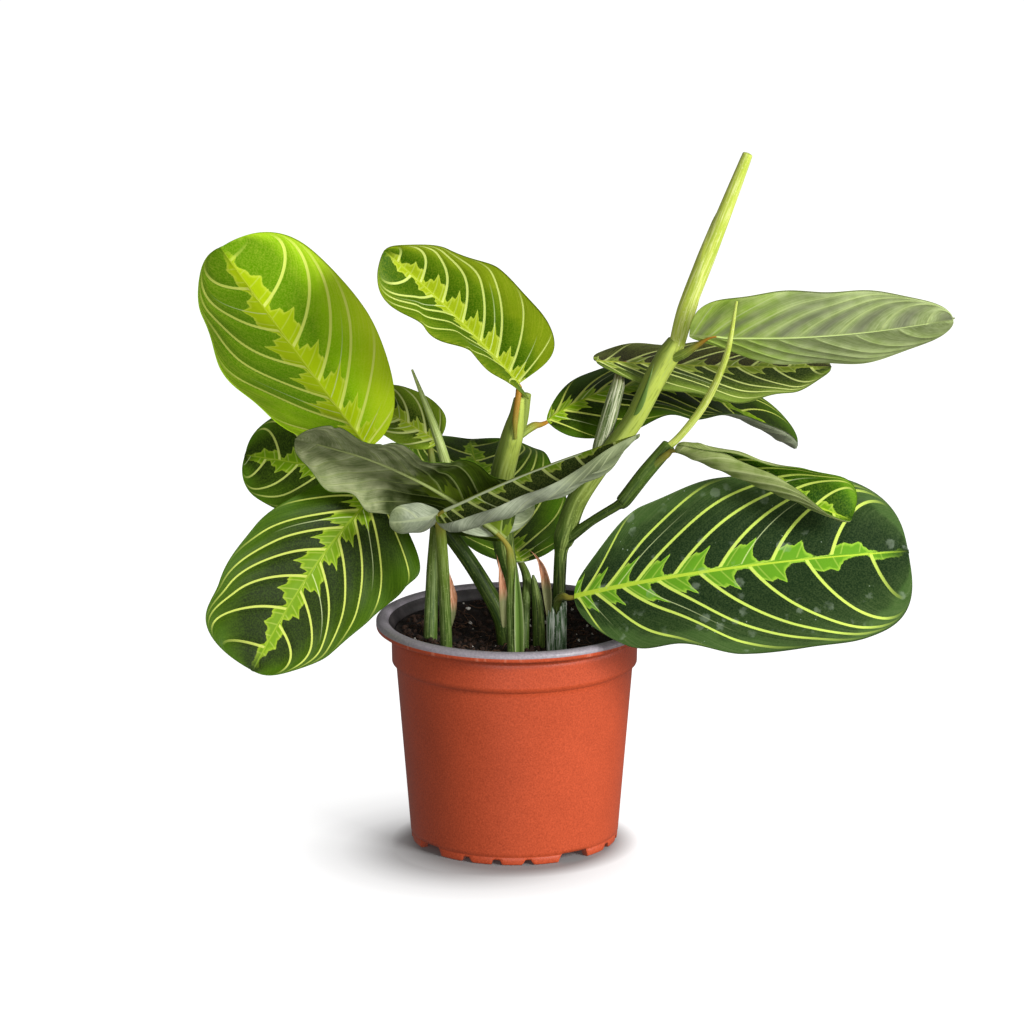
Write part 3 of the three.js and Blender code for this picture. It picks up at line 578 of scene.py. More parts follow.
# Stems from their foot in the soil upwards, each with the tubes that it is made of.
STEMS = {
    "stem_left": [
        [
            [-3, -7, FOOT, 3.9], [-4, -7, 92, 3.9], [-7, -6, 103, 3.7], [-18, -3, 122, 3.4],
            [-30, 1, 138, 3.3], [-40, 4, 148, 3.2], [-44, 5, 151, 2.8],
        ],
    ],
    "stem_centre": [
        [
            [1, 3, FOOT, 3.6], [0.5, 1, 92, 3.5], [0, 0, 104, 3.5], [-1.5, -5.5, 116, 3.6],
            [-5, -6, 136, 4.6], [-5.5, -4, 160, 5.3], [-1, -4, 180, 4.8], [1, -5, 190, 3.2],
            [2, -5, 197, 2.4],
        ],
        [[-1, -2, 176, 3], [3, -1, 186, 2.6], [5, 0, 198, 2.2]],
    ],
    "stem_right": [
        [
            [18, -7, FOOT, 3], [18, -7, 92, 2.9], [19, -7, 108, 2.7], [20, -6, 129, 2.8],
            [21.5, -6, 136, 4.6], [27, -4, 152, 4.5], [39, -2, 170, 4.3], [51, 0, 186, 4.4],
            [60, 0, 204, 4.8], [66, 0, 215, 5], [69, 0, 221, 3.6],
        ],
        [
            [21, -7, 134, 2.6], [33, -10, 144, 1.9], [44, -12, 151.5, 2], [47, -12, 154, 3.2],
            [56, -12, 166, 3.3], [66, -12, 178, 3.2],
        ],
    ],
}

# Rolled young leaves: stations, and how often the free edge winds round on the way up.
ROLLED = {
    "young_leaf_tall": (
        [
            [69, 0, 218, 3.4], [73.5, 0, 235, 4], [82, 0, 258, 3.9], [90, 0, 279, 3.2], [96.5, 0, 296, 2.5],
            [99, 0, 302.6, 2.2],
        ],
        1.2,
    ),
    "young_leaf_right": (
        [
            [64, -12, 176, 1.6], [72, -13, 184, 1.6], [82, -16, 199, 1.7], [90, -23, 220, 1.4],
            [94, -29, 245, 0.5],
        ],
        0.6,
    ),
    "young_leaf_left": (
        [[-30, 2, 140, 2], [-29, 3, 153, 2.4], [-29, 3, 164, 2.4], [-35, 3, 184, 1.8], [-44, 3, 208, 0.5]],
        0.8,
    ),
}

CUT_SHEATH = {"place": (18, -19), "radius": 4.4, "bore": 3.4, "floor": 98, "top": 111, "notch": 5}
CUT_STRIP = dict(
    spine=[[14.6, -21, 104], [12.6, -26, 126], [5.4, -26, 136]], face=[[-0.4, -0.9, 0], [-0.3, -0.9, -0.3]],
    width=2.4, widest=0.4, wave=[0, 1, 0], veins=8.0,
)
CLOSED_SHEATH = [
    [10.5, -10, FOOT, 2.7], [10.5, -10, 92, 2.7], [10, -10, 106, 2.5], [8.6, -9.5, 116, 1.5],
    [8, -9.5, 120, 0.5],
]

# Free edges of sheaths: one hugs the right stem, one stands open along the front leaf's stalk.
HUGGING = half(-20, -60, trim=[1, 1, 0.9, 0.6, 0.25], round=(2, 1.3))
OPEN = half(42, -30, trim=[1.2, 1.1, 1, 0.9, 0.5], round=(3, 1.6))
FLAPS = [
    dict(
        spine=[[48.2, -3.2, 184], [54.6, -4.6, 198], [60, -3.6, 213.6]], face=[[-0.6, -0.8, 0.2]],
        width=3.6, widest=0.4, left=HUGGING, right=HUGGING, wave=[0, 1, 0],
    ),
    dict(
        spine=[[2, -23, 86], [1.8, -24.2, 108], [0.4, -24.6, 129.5]], face=[[0.1, -1, 0]],
        width=2.3, widest=0.45, left=OPEN, right=OPEN, wave=[0, 1, 0],
    ),
]

# The pot's heights and radii, and the thickness of its sheet.
HEIGHT, LIP_FOOT, COLLAR_FOOT, FLOOR, WALL = 99, 94.6, 80, 4.6, 1
RIM, LIP_INNER, COLLAR, WALL_TOP, POT_FOOT, RING_INNER, PAD = 60, 54.6, 53.2, 51.4, 44.9, 41.3, 13
BORE = COLLAR - WALL
SOIL_LEVEL = 88


# The skins of blades and of stems, and the stretch that draws a noise out along Z.
SKIN = {"IOR": 1.42, "Specular_IOR_Level": 0.09}
STALK_SKIN = {"IOR": 1.42, "Specular_IOR_Level": 0.2}
DRAWN_OUT = (1, 1, 0.08)


def leaf_facts(node):
    """The facts that every blade carries, as outputs, with its own coordinates as `place`."""
    fact = SimpleNamespace(place=node("TexCoord", out=3))
    for key in BLADE_FACTS:
        setattr(fact, key, node(f"Attribute {key}", out=2))
    fact.share = node("Math ABSOLUTE", [fact.across])
    count = node("Math PINGPONG", [fact.vein, 0.5])
    fact.near = node("Math DIVIDE", [count, fact.crowd])
    fact.phase = node("Math FRACT", [fact.vein])
    # Streaks run with the side veins: noise whose grain is 1/26 of a cell wide and twelve times as long.
    over = node("Math MULTIPLY", [fact.vein, 26])
    down = node("Math MULTIPLY", [fact.across, 4])
    drawn = node("CombineXYZ", [over, down, fact.along])
    fact.streak = node("TexNoise", {"Vector": drawn, "Scale": 1, "Detail": 2})
    return fact


def vein_line(node, fact, wide, narrow):
    """How much a side vein covers: 1 within its half-width, `wide` mm at the midrib to `narrow` at the
    margin, and it fades out before the margin and the tip."""
    half_width = node("MapRange", [fact.share, 0, 1, wide, narrow])
    thick = node("Math DIVIDE", [fact.near, half_width])
    line = node("MapRange SMOOTHSTEP", [thick, 0.7, 1.25, 1, 0])
    fade = node("MapRange", [fact.share, 0.86, 0.99, 1, 0])
    end = node("MapRange", [fact.along, 0.87, 0.94, 1, 0])
    fade = node("Math MULTIPLY", [fade, end])
    return node("Math MULTIPLY", [line, fade])


def midrib_line(node, fact, base, tip):
    """How much the midrib covers: its half-width runs from `base` mm to `tip` mm, and it ends at 0.97."""
    half_width = node("MapRange", [fact.along, 0, 0.7, base, tip])
    thick = node("Math DIVIDE", [fact.reach, half_width])
    line = node("MapRange SMOOTHSTEP", [thick, 0.75, 1.2, 1, 0])
    fade = node("MapRange", [fact.along, 0.88, 0.97, 1, 0])
    return node("Math MULTIPLY", [line, fade])


# Over the way from one side vein to the next: the height of broad and of slim lobes, and how strong an
# underside's painted shadow between its ridges is. From the leaf's base to its tip: the lobes' size. All are
# shares of the most.
BROAD = [
    (0, 1), (0.04, 0.8), (0.16, 0.66), (0.4, 1), (0.55, 0.72), (0.72, 0.5), (0.84, 0.22), (0.93, 0.26),
    (1, 1),
]
SLIM = [
    (0, 0.9), (0.04, 0.72), (0.2, 0.8), (0.38, 1), (0.48, 0.62), (0.62, 0.3), (0.72, 0.12), (0.95, 0.12),
    (1, 0.6),
]
RIDGE_SHADOW = [(0, 0), (0.08, 0.1), (0.3, 0.8), (0.5, 1), (0.8, 0.25), (1, 0)]
LOBE_PEAK = [(0, 0.65), (0.1, 0.92), (0.3, 1), (0.6, 0.95), (0.75, 0.72), (0.88, 0.4), (1, 0.05)]


def lobes(node, fact, rise, lobe):
    """The lobes along the midrib: how far inside them a place is, the millimetres past their edge, the saw
    of their teeth, each cell's luck and the raggedness of the edge.

    Their height is `lobe` mm times `rise` at the place between two side veins, times LOBE_PEAK along the
    leaf, times a saw whose teeth stand at 0.14, 0.43 and 0.71 of the way, plus ragged noise.
    """
    ragged = node("TexNoise", {"Vector": fact.place, "Scale": 700, "Detail": 3, "Roughness": 0.6})
    side = node("Math SIGN", [fact.across])
    whole = node("Math FLOOR", [fact.vein])
    cell = node("Math MULTIPLY_ADD", [side, 17, whole])
    luck = node("TexWhiteNoise 1D", {"W": cell})
    rise = node("ValToRGB", [fact.phase], stops=rise)
    peak = node("ValToRGB", [fact.along], stops=LOBE_PEAK)
    height = node("Math MULTIPLY", [rise, peak])
    third = node("Math MULTIPLY", [fact.phase, 3.5])
    saw = node("Math PINGPONG", [third, 0.5])
    tooth = node("Math MULTIPLY_ADD", [saw, 0.5, 0.72])
    chance = node("Math MULTIPLY_ADD", [luck, 0.22, tooth])
    height = node("Math MULTIPLY", [height, chance])
    fringe = node("Math MULTIPLY_ADD", [ragged, 1.6, -0.8])
    reach = node("Math MULTIPLY_ADD", [height, lobe, fringe])
    past = node("Math SUBTRACT", [fact.reach, reach])
    inside = node("MapRange SMOOTHSTEP", [past, -0.25, 0.35, 1, 0])
    ending = node("MapRange", [fact.along, 0.88, 0.96, 1, 0])
    return node("Math MULTIPLY", [inside, ending]), past, saw, luck, ragged


def blade_material(
    name, colours, rise, lobe, rib=(0.6, 0.3), run=(0.5, 0.8), lit_side=0.0, tip=0.4, dust=0.0, shaded_half=None,
    fall=0.2, ridge=(0.62, 0.3),
):
    """A prayer plant's upper face: a waxy, finely quilted skin, so it has a soft sheen and no mirror.

    The colours are the ground's at the midrib, between and at the margin, its streaks', the lobes' fill
    and edge, the veins' and the midrib's. The ground turns at the shares `run`, painted lighter on the side
    that `lit_side` names, as if lit from there, and, by `tip`, at the tip, and darker by `fall` along the
    leaf. Lobes up to `lobe` mm high stand along the midrib. Over them lie thin second veins to the teeth,
    side veins, `ridge` mm to a side at the midrib and the margin, and the midrib, `rib` mm to a side at
    base and tip. `dust` adds dried water spots and `shaded_half` paints shade on the far half.
    """
    *ground, streaks, inner, edge, vein, midrib = colours.split()
    node, material = principled(f"leaf_skin_{name}", Roughness=0.43, **SKIN)
    fact = leaf_facts(node)
    mottle = node("TexNoise", {"Vector": fact.place, "Scale": 90, "Detail": 3})
    # Painted light: the ground is lighter on the half that `lit_side` names.
    lean = node("Math MULTIPLY_ADD", [fact.across, lit_side, fact.share])
    lean = node("Math MULTIPLY_ADD", [fact.along, -fall, lean])
    shade = node("Math MULTIPLY_ADD", [mottle, 0.4, lean])
    tipward = node("MapRange", [fact.along, 0.8, 0.98, 0, tip])
    shade = node("Math ADD", [shade, tipward])
    colour = node("ValToRGB", [shade], stops=zip((*run, 1), ground))
    outer = node("Math POWER", [fact.share, 2])
    streak = node("MapRange", [fact.streak, 0.45, 0.75, 0, 0.6])
    streak = node("Math MULTIPLY", [streak, outer])
    # The skin's cells, drawn 0.7 mm wide so that they show.
    cells = node("TexNoise", {"Vector": fact.place, "Scale": 1500, "Detail": 2})
    cells = node("MapRange", [cells, 0.4, 0.65, 0, 0.2])
    inside, past, saw, luck, ragged = lobes(node, fact, rise, lobe)
    seam = node("MapRange", [past, -1.5, -0.2])
    fill = node("Mix RGBA", {0: seam, 6: inner, 7: edge}, out=2)
    # Second veins end in the teeth, and one in four runs on as a thin pale line.
    back = node("Math SUBTRACT", [0.5, saw])
    wide = node("Math MULTIPLY", [fact.crowd, 3.5])
    second = node("Math DIVIDE", [back, wide])
    second = node("MapRange", [second, 0.15, 0.45, 0.32, 0])
    second = node("Math MULTIPLY", [second, inside])
    apart = node("Math SUBTRACT", [fact.phase, 0.43])
    apart = node("Math ABSOLUTE", [apart])
    apart = node("Math DIVIDE", [apart, fact.crowd])
    third = node("MapRange", [apart, 0.05, 0.3, 0.7, 0])
    chosen = node("Math GREATER_THAN", [luck, 0.75])
    third = node("Math MULTIPLY", [third, chosen])
    short = node("MapRange", [fact.share, 0.45, 0.75, 1, 0])
    third = node("Math MULTIPLY", [third, short])
    line = vein_line(node, fact, *ridge)
    layers = [
        (streak, streaks), (cells, streaks), (inside, fill), (second, vein), (third, "#CFDC9C"),
        (line, vein), (midrib_line(node, fact, *rib), midrib),
    ]
    # Painted shade: the left half goes over to the dark `shaded_half` colour.
    if shaded_half:
        layers.insert(0, (node("MapRange", [fact.across, 0.05, -0.1, 0, 0.75]), shaded_half))
    if dust:
        # Dried water spots, 4 to 10 mm, and dust grains of 0.4 mm.
        stain = node("TexVoronoi", {"Vector": fact.place, "Scale": 130})
        stain = node("Math MULTIPLY_ADD", [ragged, 0.35, stain])
        stain = node("MapRange", [stain, 0.42, 0.5, 0.22 * dust, 0])
        patchy = node("MapRange", [mottle, 0.5, 0.6])
        stain = node("Math MULTIPLY", [stain, patchy])
        grains = node("TexVoronoi", {"Vector": fact.place, "Scale": 420})
        grains = node("MapRange", [grains, 0.08, 0.15, 0.6 * dust, 0])
        few = node("MapRange", [mottle, 0.58, 0.64])
        grains = node("Math MULTIPLY", [grains, few])
        layers.append((node("Math MAXIMUM", [stain, grains]), "#A9B8A0"))
    for cover, paint in layers:
        colour = node("Mix RGBA", {0: cover, 6: colour, 7: paint}, out=2)
    bumps = node("Math MULTIPLY_ADD", [fact.streak, 0.5, line])
    return dressed(material, colour, bumps, 0.35, 0.0003)


def under_material(name, colours, turn=(0.0, 0.01), deep=(0.5, 0.5), rib=0.7, backlit_lobes=None):
    """A prayer plant's underside: a matt skin with a silver bloom, ridged where the side veins stand out.

    The colours are the bloom's low and high tone at the base and at the tip, the ridges' and the painted
    shadows' between them. The bloom turns between the shares `turn` of the length, ridges and painted
    shadows are as strong as `deep` on the left and the right half, and the midrib as `rib`. Where the bloom
    is still the base's, the upper face's lobes show through as `backlit_lobes`, painted light from behind.
    """
    *tones, vein, shadow = colours.split()
    node, material = principled(f"leaf_bloom_{name}", Roughness=0.5, **SKIN)
    fact = leaf_facts(node)
    mottle = node("TexNoise", {"Vector": fact.place, "Scale": 160, "Detail": 4})
    tone = node("Math MULTIPLY", [fact.streak, 0.5])
    tone = node("Math MULTIPLY_ADD", [mottle, 0.5, tone])
    near_base = node("ValToRGB", [tone], stops=zip((0.4, 0.6), tones[:2]))
    near_tip = node("ValToRGB", [tone], stops=zip((0.4, 0.6), tones[2:]))
    place = node("Math MULTIPLY_ADD", [mottle, 0.25, fact.along])
    go = node("MapRange SMOOTHSTEP", [place, turn[0] + 0.12, turn[1] + 0.12])
    if backlit_lobes:
        inside = node("Math MULTIPLY", [lobes(node, fact, BROAD, 11)[0], 0.85])
        near_base = node("Mix RGBA", {0: inside, 6: near_base, 7: backlit_lobes}, out=2)
    # Painted shade: the shadow colour fills the hollow between two side veins, weaker towards the margin.
    low = node("ValToRGB", [fact.phase], stops=RIDGE_SHADOW)
    sides = node("MapRange", [fact.across, -0.05, 0.05, *deep])
    low = node("Math MULTIPLY", [low, sides])
    inner = node("MapRange", [fact.share, 0.4, 0.9, 1, 0.25])
    low = node("Math MULTIPLY", [low, inner])
    line = vein_line(node, fact, 0.55, 0.3)
    soft = node("Math MULTIPLY", [line, sides])
    middle = node("Math MULTIPLY", [midrib_line(node, fact, 1.1, 0.4), rib])
    colour = near_base
    for cover, paint in [(go, near_tip), (low, shadow), (soft, vein), (middle, vein)]:
        colour = node("Mix RGBA", {0: cover, 6: colour, 7: paint}, out=2)
    raised = node("Math MULTIPLY_ADD", [fact.streak, 0.6, line])
    return dressed(material, colour, raised, 0.45, 0.0004)


def fibre_material(name, colours, roughness=0.45, lift=None, contrast=0.6, shaded_side=None):
    """A stem or sheath: fibres under a thin waxy skin, seen as fine streaks that run along it.

    The colours are a low and a high tone, the streaks' and the knot's below a blade. Noise drawn out
    along the length runs from low to high, and between the two heights of `lift` (m) it goes over to
    the lift's own colour. Pale and low streaks follow it, flecks of 1 mm lie on it, and `shaded_side`
    paints shade on the left face.
    """
    low, high, streak, knee = colours.split()
    node, material = principled(name, Roughness=roughness, **STALK_SKIN)
    facts = ("round_x", "round_y", "run", "knee")
    round_x, round_y, run, knot = (node(f"Attribute {key}", out=2) for key in facts)
    slow = node("Math MULTIPLY", [run, 0.02])
    spread = node("CombineXYZ", [round_x, round_y, slow])
    broad = node("TexNoise", {"Vector": spread, "Scale": 1.4, "Detail": 2})
    fine = node("TexNoise", {"Vector": spread, "Scale": 5, "Detail": 3})
    place = node("TexCoord", out=3)
    fleck = node("TexNoise", {"Vector": place, "Scale": 1100, "Detail": 2})
    layers = [
        (node("MapRange", [fine, 0.48, 0.66, 0, contrast]), streak),
        (node("MapRange", [fine, 0.36, 0.46, 0.7 * contrast, 0]), low),
        (node("MapRange", [fleck, 0.6, 0.72, 0, 0.45]), streak),
    ]
    if lift:
        height = node("SeparateXYZ", [place], out=2)
        layers.insert(0, (node("MapRange SMOOTHSTEP", [height, *lift[:2], 0, 0.75]), lift[2]))
    # Painted shade on the left face, which turns away from the key light.
    if shaded_side:
        layers.append((node("MapRange", [round_x, -0.1, -0.4, 0, 0.5]), shaded_side))
    colour = node("ValToRGB", [broad], stops=[(0.35, low), (0.65, high)])
    for cover, paint in [*layers, (knot, knee)]:
        colour = node("Mix RGBA", {0: cover, 6: colour, 7: paint}, out=2)
    return dressed(material, colour, fine, 0.3, 0.0003)


def paper_material():
    """A dry bract: dead leaf tissue, papery and matt, with faint streaks from brown to pink; its foot, the
    lower two fifths, is still grey-green."""
    node, material = principled("dry_bract", Roughness=0.75, IOR=1.45)
    drawn = node("Mapping", {"Vector": node("TexCoord", out=3), "Scale": DRAWN_OUT})
    noise = node("TexNoise", {"Vector": drawn, "Scale": 1500, "Detail": 2})
    colour = node("ValToRGB", [noise], stops=[(0.35, "#9A6040"), (0.5, "#B27E5C"), (0.68, "#CBA186")])
    foot = node("MapRange", [node("Attribute along", out=2), 0.28, 0.45, 0.85, 0])
    colour = node("Mix RGBA", {0: foot, 6: colour, 7: "#5E7044"}, out=2)
    return dressed(material, colour, noise, 0.4, 0.0002)


def flap_material():
    """The free edge of a stem's sheath: thin green tissue, paler and yellower towards its two edges."""
    node, material = principled("sheath_edge", Roughness=0.45, **STALK_SKIN)
    fact = leaf_facts(node)
    tone = node("Math MULTIPLY_ADD", [fact.streak, 0.3, fact.share])
    tones = [(0.15, "#4A6422"), (0.65, "#5C7834"), (0.95, "#788E4C"), (1, "#9AA874")]
    return dressed(material, node("ValToRGB", [tone], stops=tones), tone, 0.3, 0.0002)


def pot_material():
    """Thermoformed polypropylene sheet: smooth with a low sheen, rubbed and faintly creased.

    Fine specks of 0.7 mm and a slow mottle of 20 mm vary its tone, and pale creases 0.8 mm wide run down
    the lip's foot.
    """
    node, material = principled("polypropylene_terracotta", Roughness=0.46, IOR=1.49, Specular_IOR_Level=0.5)
    place = node("TexCoord", out=3)
    mottle = node("TexNoise", {"Vector": place, "Scale": 50, "Detail": 4})
    speck = node("TexNoise", {"Vector": place, "Scale": 1400, "Detail": 2})
    mixed = node("Math MULTIPLY_ADD", [mottle, 0.25, speck])
    colour = node("ValToRGB", [mixed], stops=[(0.36, "#A03A16"), (0.9, "#C4502A")])
    height = node("SeparateXYZ", [place], out=2)
    drawn = node("Mapping", {"Vector": place, "Scale": DRAWN_OUT})
    crease = node("TexNoise", {"Vector": drawn, "Scale": 420, "Detail": 2})
    crease = node("MapRange", [crease, 0.56, 0.68, 0, 0.5])
    top = node("MapRange SMOOTHSTEP", [height, 0.0925, 0.0945])
    crease = node("Math MULTIPLY", [crease, top])
    colour = node("Mix RGBA", {0: crease, 6: colour, 7: "#D88468"}, out=2)
    bumps = node("Math MULTIPLY_ADD", [crease, 2, speck])
    return dressed(material, colour, bumps, 0.3, 0.0002)


def grain_material(name, low, high, scale, roughness, depth):
    """A matt or rubbed surface mottled from `low` to `high`, its grain 1 / `scale` metres across."""
    node, material = principled(name, Roughness=roughness, IOR=1.45)
    place = node("TexCoord", out=3)
    noise = node("TexNoise", {"Vector": place, "Scale": scale, "Detail": 5, "Roughness": 0.7})
    return dressed(material, node("ValToRGB", [noise], stops=[(0.35, low), (0.7, high)]), noise, 0.8, depth)


# Upper faces.
# The lime face's `lit_side` paints light on its right half, and its large `fall` paints shade towards its
# tip.
lime_face = blade_material(
    "lime", "#629600 #94C804 #BCDC18 #D6E650 #B4D012 #CCE03C #E0EE6C #C6DA38",
    BROAD, 12.5, rib=(0.5, 0.25), run=(0.0, 0.36), lit_side=0.46, tip=0.0, fall=1.25, ridge=(0.75, 0.5),
)
# `lit_side` paints light on the moss face's right half.
moss_face = blade_material(
    "moss", "#2E5400 #4A6C04 #70860C #98A22C #96A818 #B0BE3A #C4D070 #A2B034",
    BROAD, 9.5, rib=(0.5, 0.25), run=(0.42, 0.75), lit_side=0.2, tip=0.1,
)
green_face = blade_material(
    "green", "#26380A #42600C #48700E #729426 #6A900C #90AE28 #C8D66C #90AC28", BROAD, 9.5, run=(0.55, 0.85)
)
shaded_face = blade_material(
    "shaded", "#1A2805 #304804 #365406 #587618 #6A8E08 #90AC22 #BECA5C #88A41E",
    BROAD, 9.5, run=(0.55, 0.85),
)
pale_face = blade_material(
    "pale", "#3C5410 #70901E #86A826 #BCCC50 #A2BE2A #C8D84C #E4EE96 #C4D448", BROAD, 9.5
)
folded_face = blade_material(
    "folded", "#1E2E0A #344810 #5C701C #949E50 #64801A #92A23E #B0BC6C #8C9C3C", SLIM, 5.5
)
deep_face = blade_material(
    "deep", "#182B14 #283E1B #3D5828 #5F7242 #649A22 #96C23A #C6DC60 #B4D03E",
    SLIM, 12, rib=(1.2, 0.35), run=(0.55, 0.9), tip=0.45, dust=1.0, ridge=(0.75, 0.52),
)
# The back right leaf's far half is darkened with painted shade.
dusk_face = blade_material(
    "dusk", "#22340F #3E5214 #68802A #9CAC54 #7A902A #A8B84E #D0DC80 #A8B440", SLIM, 7.5, shaded_half="#32241A"
)
fresh_face = blade_material(
    "fresh", "#1E4206 #346208 #5C8C12 #90B434 #74A018 #A8C83C #D0E068 #B4D038", SLIM, 7
)
# Undersides. Each one's last colour is the painted shadow between its ridges.
silver_under = under_material("silver", "#7E8A6C #A6AE8E #828E70 #ACB494 #B6C094 #6F7A5C")
front_under = under_material(
    "front", "#8A937A #B2BA9E #626E4A #88926A #B6C094 #6F7A5C", turn=(0.6, 0.85), rib=0.4
)
# The front left leaf's underside: its olive base half is painted shade with light shining through, its lobes
# painted light seen through the leaf; its tip half is the silver bloom.
olive_under = under_material(
    "olive", "#26360A #405410 #8A9664 #BCC294 #98A464 #3E481A", turn=(0.36, 0.6), backlit_lobes="#70881C"
)
pale_under = under_material(
    "pale", "#94B63C #B4CC60 #98AC64 #BCCC8C #C0D088 #6C6A62", turn=(0.1, 0.5), deep=(0.2, 0.7), rib=0.4
)
curled_under = under_material("curled", "#7E9048 #A4B070 #728244 #9AA668 #B4BE84 #5E6A38", turn=(0.4, 0.7))
# Stems, stalks, sheaths and young leaves.
stalk_green = fibre_material(
    "stalk_green", "#2A4014 #4C6426 #909E62 #8A8030", lift=(0.1, 0.15, "#748830"), contrast=0.42
)
stalk_amber = fibre_material("stalk_amber", "#4C6420 #8AA03C #A6BC60 #A87424")
stem_green = fibre_material(
    "stem_green", "#263A12 #4C6024 #A0B060 #B08A2C",
    lift=(0.125, 0.215, "#CCDC5E"), contrast=0.5, shaded_side="#34501A",
)
# A darker copy of the stem's colours: painted shade for the left stem and the right stem's branch.
stem_green_shaded = fibre_material(
    "stem_green_shaded", "#1C2E0C #3A5014 #6E803C #B08A2C", lift=(0.15, 0.17, "#4C6624"), contrast=0.4
)
sheath_silver = fibre_material(
    "sheath_silver", "#46582A #8E9C68 #D2D4B4 #8A6A40", roughness=0.5, contrast=0.85
)
young_lime = fibre_material("young_leaf_lime", "#A4B83C #C8D25C #E4E8A0 #A9C445", roughness=0.4)
young_pale = fibre_material("young_leaf_pale", "#90A650 #B2C470 #DCE6A8 #90A650")
sheath_scuffed = fibre_material(
    "sheath_scuffed", "#34502C #64805A #DCE2D4 #64805A", roughness=0.35, contrast=0.95
)
dry_bract = paper_material()
sheath_edge = flap_material()
terracotta = pot_material()
lip_grey = grain_material("polypropylene_grey", "#827C84", "#A49CA2", 900, 0.4, 0.0001)
inner_grey = grain_material("polypropylene_inner", "#221E1E", "#3C3636", 300, 0.5, 0.0002)
peat = grain_material("peat", "#0C0805", "#2C1C12", 900, 0.95, 0.0012)
bark = grain_material("bark_crumb", "#150D08", "#4A3020", 1500, 0.9, 0.0006)
perlite = grain_material("perlite", "#B9B2A6", "#F2EEE6", 1200, 0.85, 0.0003)
fibre = grain_material("coir_fibre", "#3C2618", "#7A5638", 1500, 0.8, 0.0002)


# Camera and light.
scene = bpy.context.scene
scene.view_settings.view_transform = "Standard"
camera_data = bpy.data.cameras.new("camera")
camera_data.sensor_width = SENSOR
camera_data.lens = SENSOR * CAMERA_DISTANCE / (PICTURE * PICTURE_ELEMENT)
camera_data.clip_end = 100
camera = bpy.data.objects.new("camera", camera_data)
camera.location = (
    CAMERA_X * MM,
    -CAMERA_DISTANCE * math.cos(CAMERA_ELEVATION) * MM,
    (CAMERA_Z + CAMERA_DISTANCE * math.sin(CAMERA_ELEVATION)) * MM,
)
camera.rotation_euler = (math.pi / 2 - CAMERA_ELEVATION, 0, 0)
scene.collection.objects.link(camera)
scene.camera = camera

# The sheet behind the plant is white to the eye, and its light on the plant is weaker.
world = bpy.data.worlds.new("studio")
world.use_nodes = True
seen = add(world.node_tree, "LightPath")
strength = add(world.node_tree, "Math MULTIPLY_ADD", [seen, 0.85, 0.2])
background = world.node_tree.nodes["Background"]
background.inputs["Color"].default_value = linear("#FFFFFF")
world.node_tree.links.new(strength, background.inputs["Strength"])
scene.world = world


LIGHT_AIM = (0, 0, 0.14)


def soft_light(name, place, size, power):
    """A square soft box that looks at the middle of the plant."""
    data = bpy.data.lights.new(name, "AREA")
    data.size = size
    data.energy = power
    made = bpy.data.objects.new(name, data)
    made.location = place
    away = np.array(LIGHT_AIM) - np.array(place)
    pitch = math.atan2(away[2], math.hypot(away[0], away[1]))
    made.rotation_euler = (math.pi / 2 + pitch, 0, math.atan2(away[1], away[0]) - math.pi / 2)
    scene.collection.objects.link(made)


soft_light("key_light", (1.6, -1.6, 1.05), 0.8, 66)
soft_light("front_light", (-0.2, -2.2, 0.5), 1.2, 17)
soft_light("side_light", (2.2, -0.3, 0.5), 1.0, 16)

# Floor. The paper's own glow, painted light by the distance from the pot times five, keeps it white past
# the pot's shadow, dims near the pot as a painted contact shadow, and lights nothing else.
radius = np.array([0, 500, 1000, 1500])[:, None]
angle = np.linspace(0, TURN, 64, endpoint=False)
disc = np.stack([radius * np.cos(angle), radius * np.sin(angle), 0 * radius * angle], axis=-1)
node, studio_paper = principled(
    "studio_paper", Roughness=0.9, Base_Color=linear("#8C8C8C"), Emission_Color=linear("#FFFFFF")
)
place = node("TexCoord", out=3)
away = node("VectorMath SUBTRACT", [place, (-0.018, -0.022, 0)])
away = node("VectorMath LENGTH", [away], out=1)
away = node("Math MULTIPLY", [away, 5])
stops = [(0.17, 0.18), (0.24, 0.48), (0.29, 0.66), (0.37, 0.82), (0.46, 0.92), (0.65, 1)]
glow = node("ValToRGB", [away], stops=stops)
# Under the pot, up to the edge of its foot, the paper doesn't glow: a painted shadow under the foot.
out = node("VectorMath DISTANCE", [place, (0, -0.008, 0)], out=1)
out = node("MapRange", [out, 0.042, 0.054, 0.05])
glow = node("Math MULTIPLY", [glow, out])
paper = studio_paper.node_tree
paper.links.new(glow, paper.nodes["Principled BSDF"].inputs["Emission Strength"])
floor = make("floor", patch_of(disc, closed=True), [studio_paper])
floor.visible_diffuse = False
floor.visible_glossy = False


# Pot: its facets round, the millimetres between its rows, and the notches in a quarter of its foot:
# each one's middle and span in degrees, its height, and its side's slant as a share of its height.
POT_SIDES = 360
ROW_STEP = 1.6
NOTCHES = [(35, 20, 4), (62.5, 6, 2.4), (80, 6, 2.4), (97.5, 6, 2.4)]
NOTCH_SLANT = 0.35


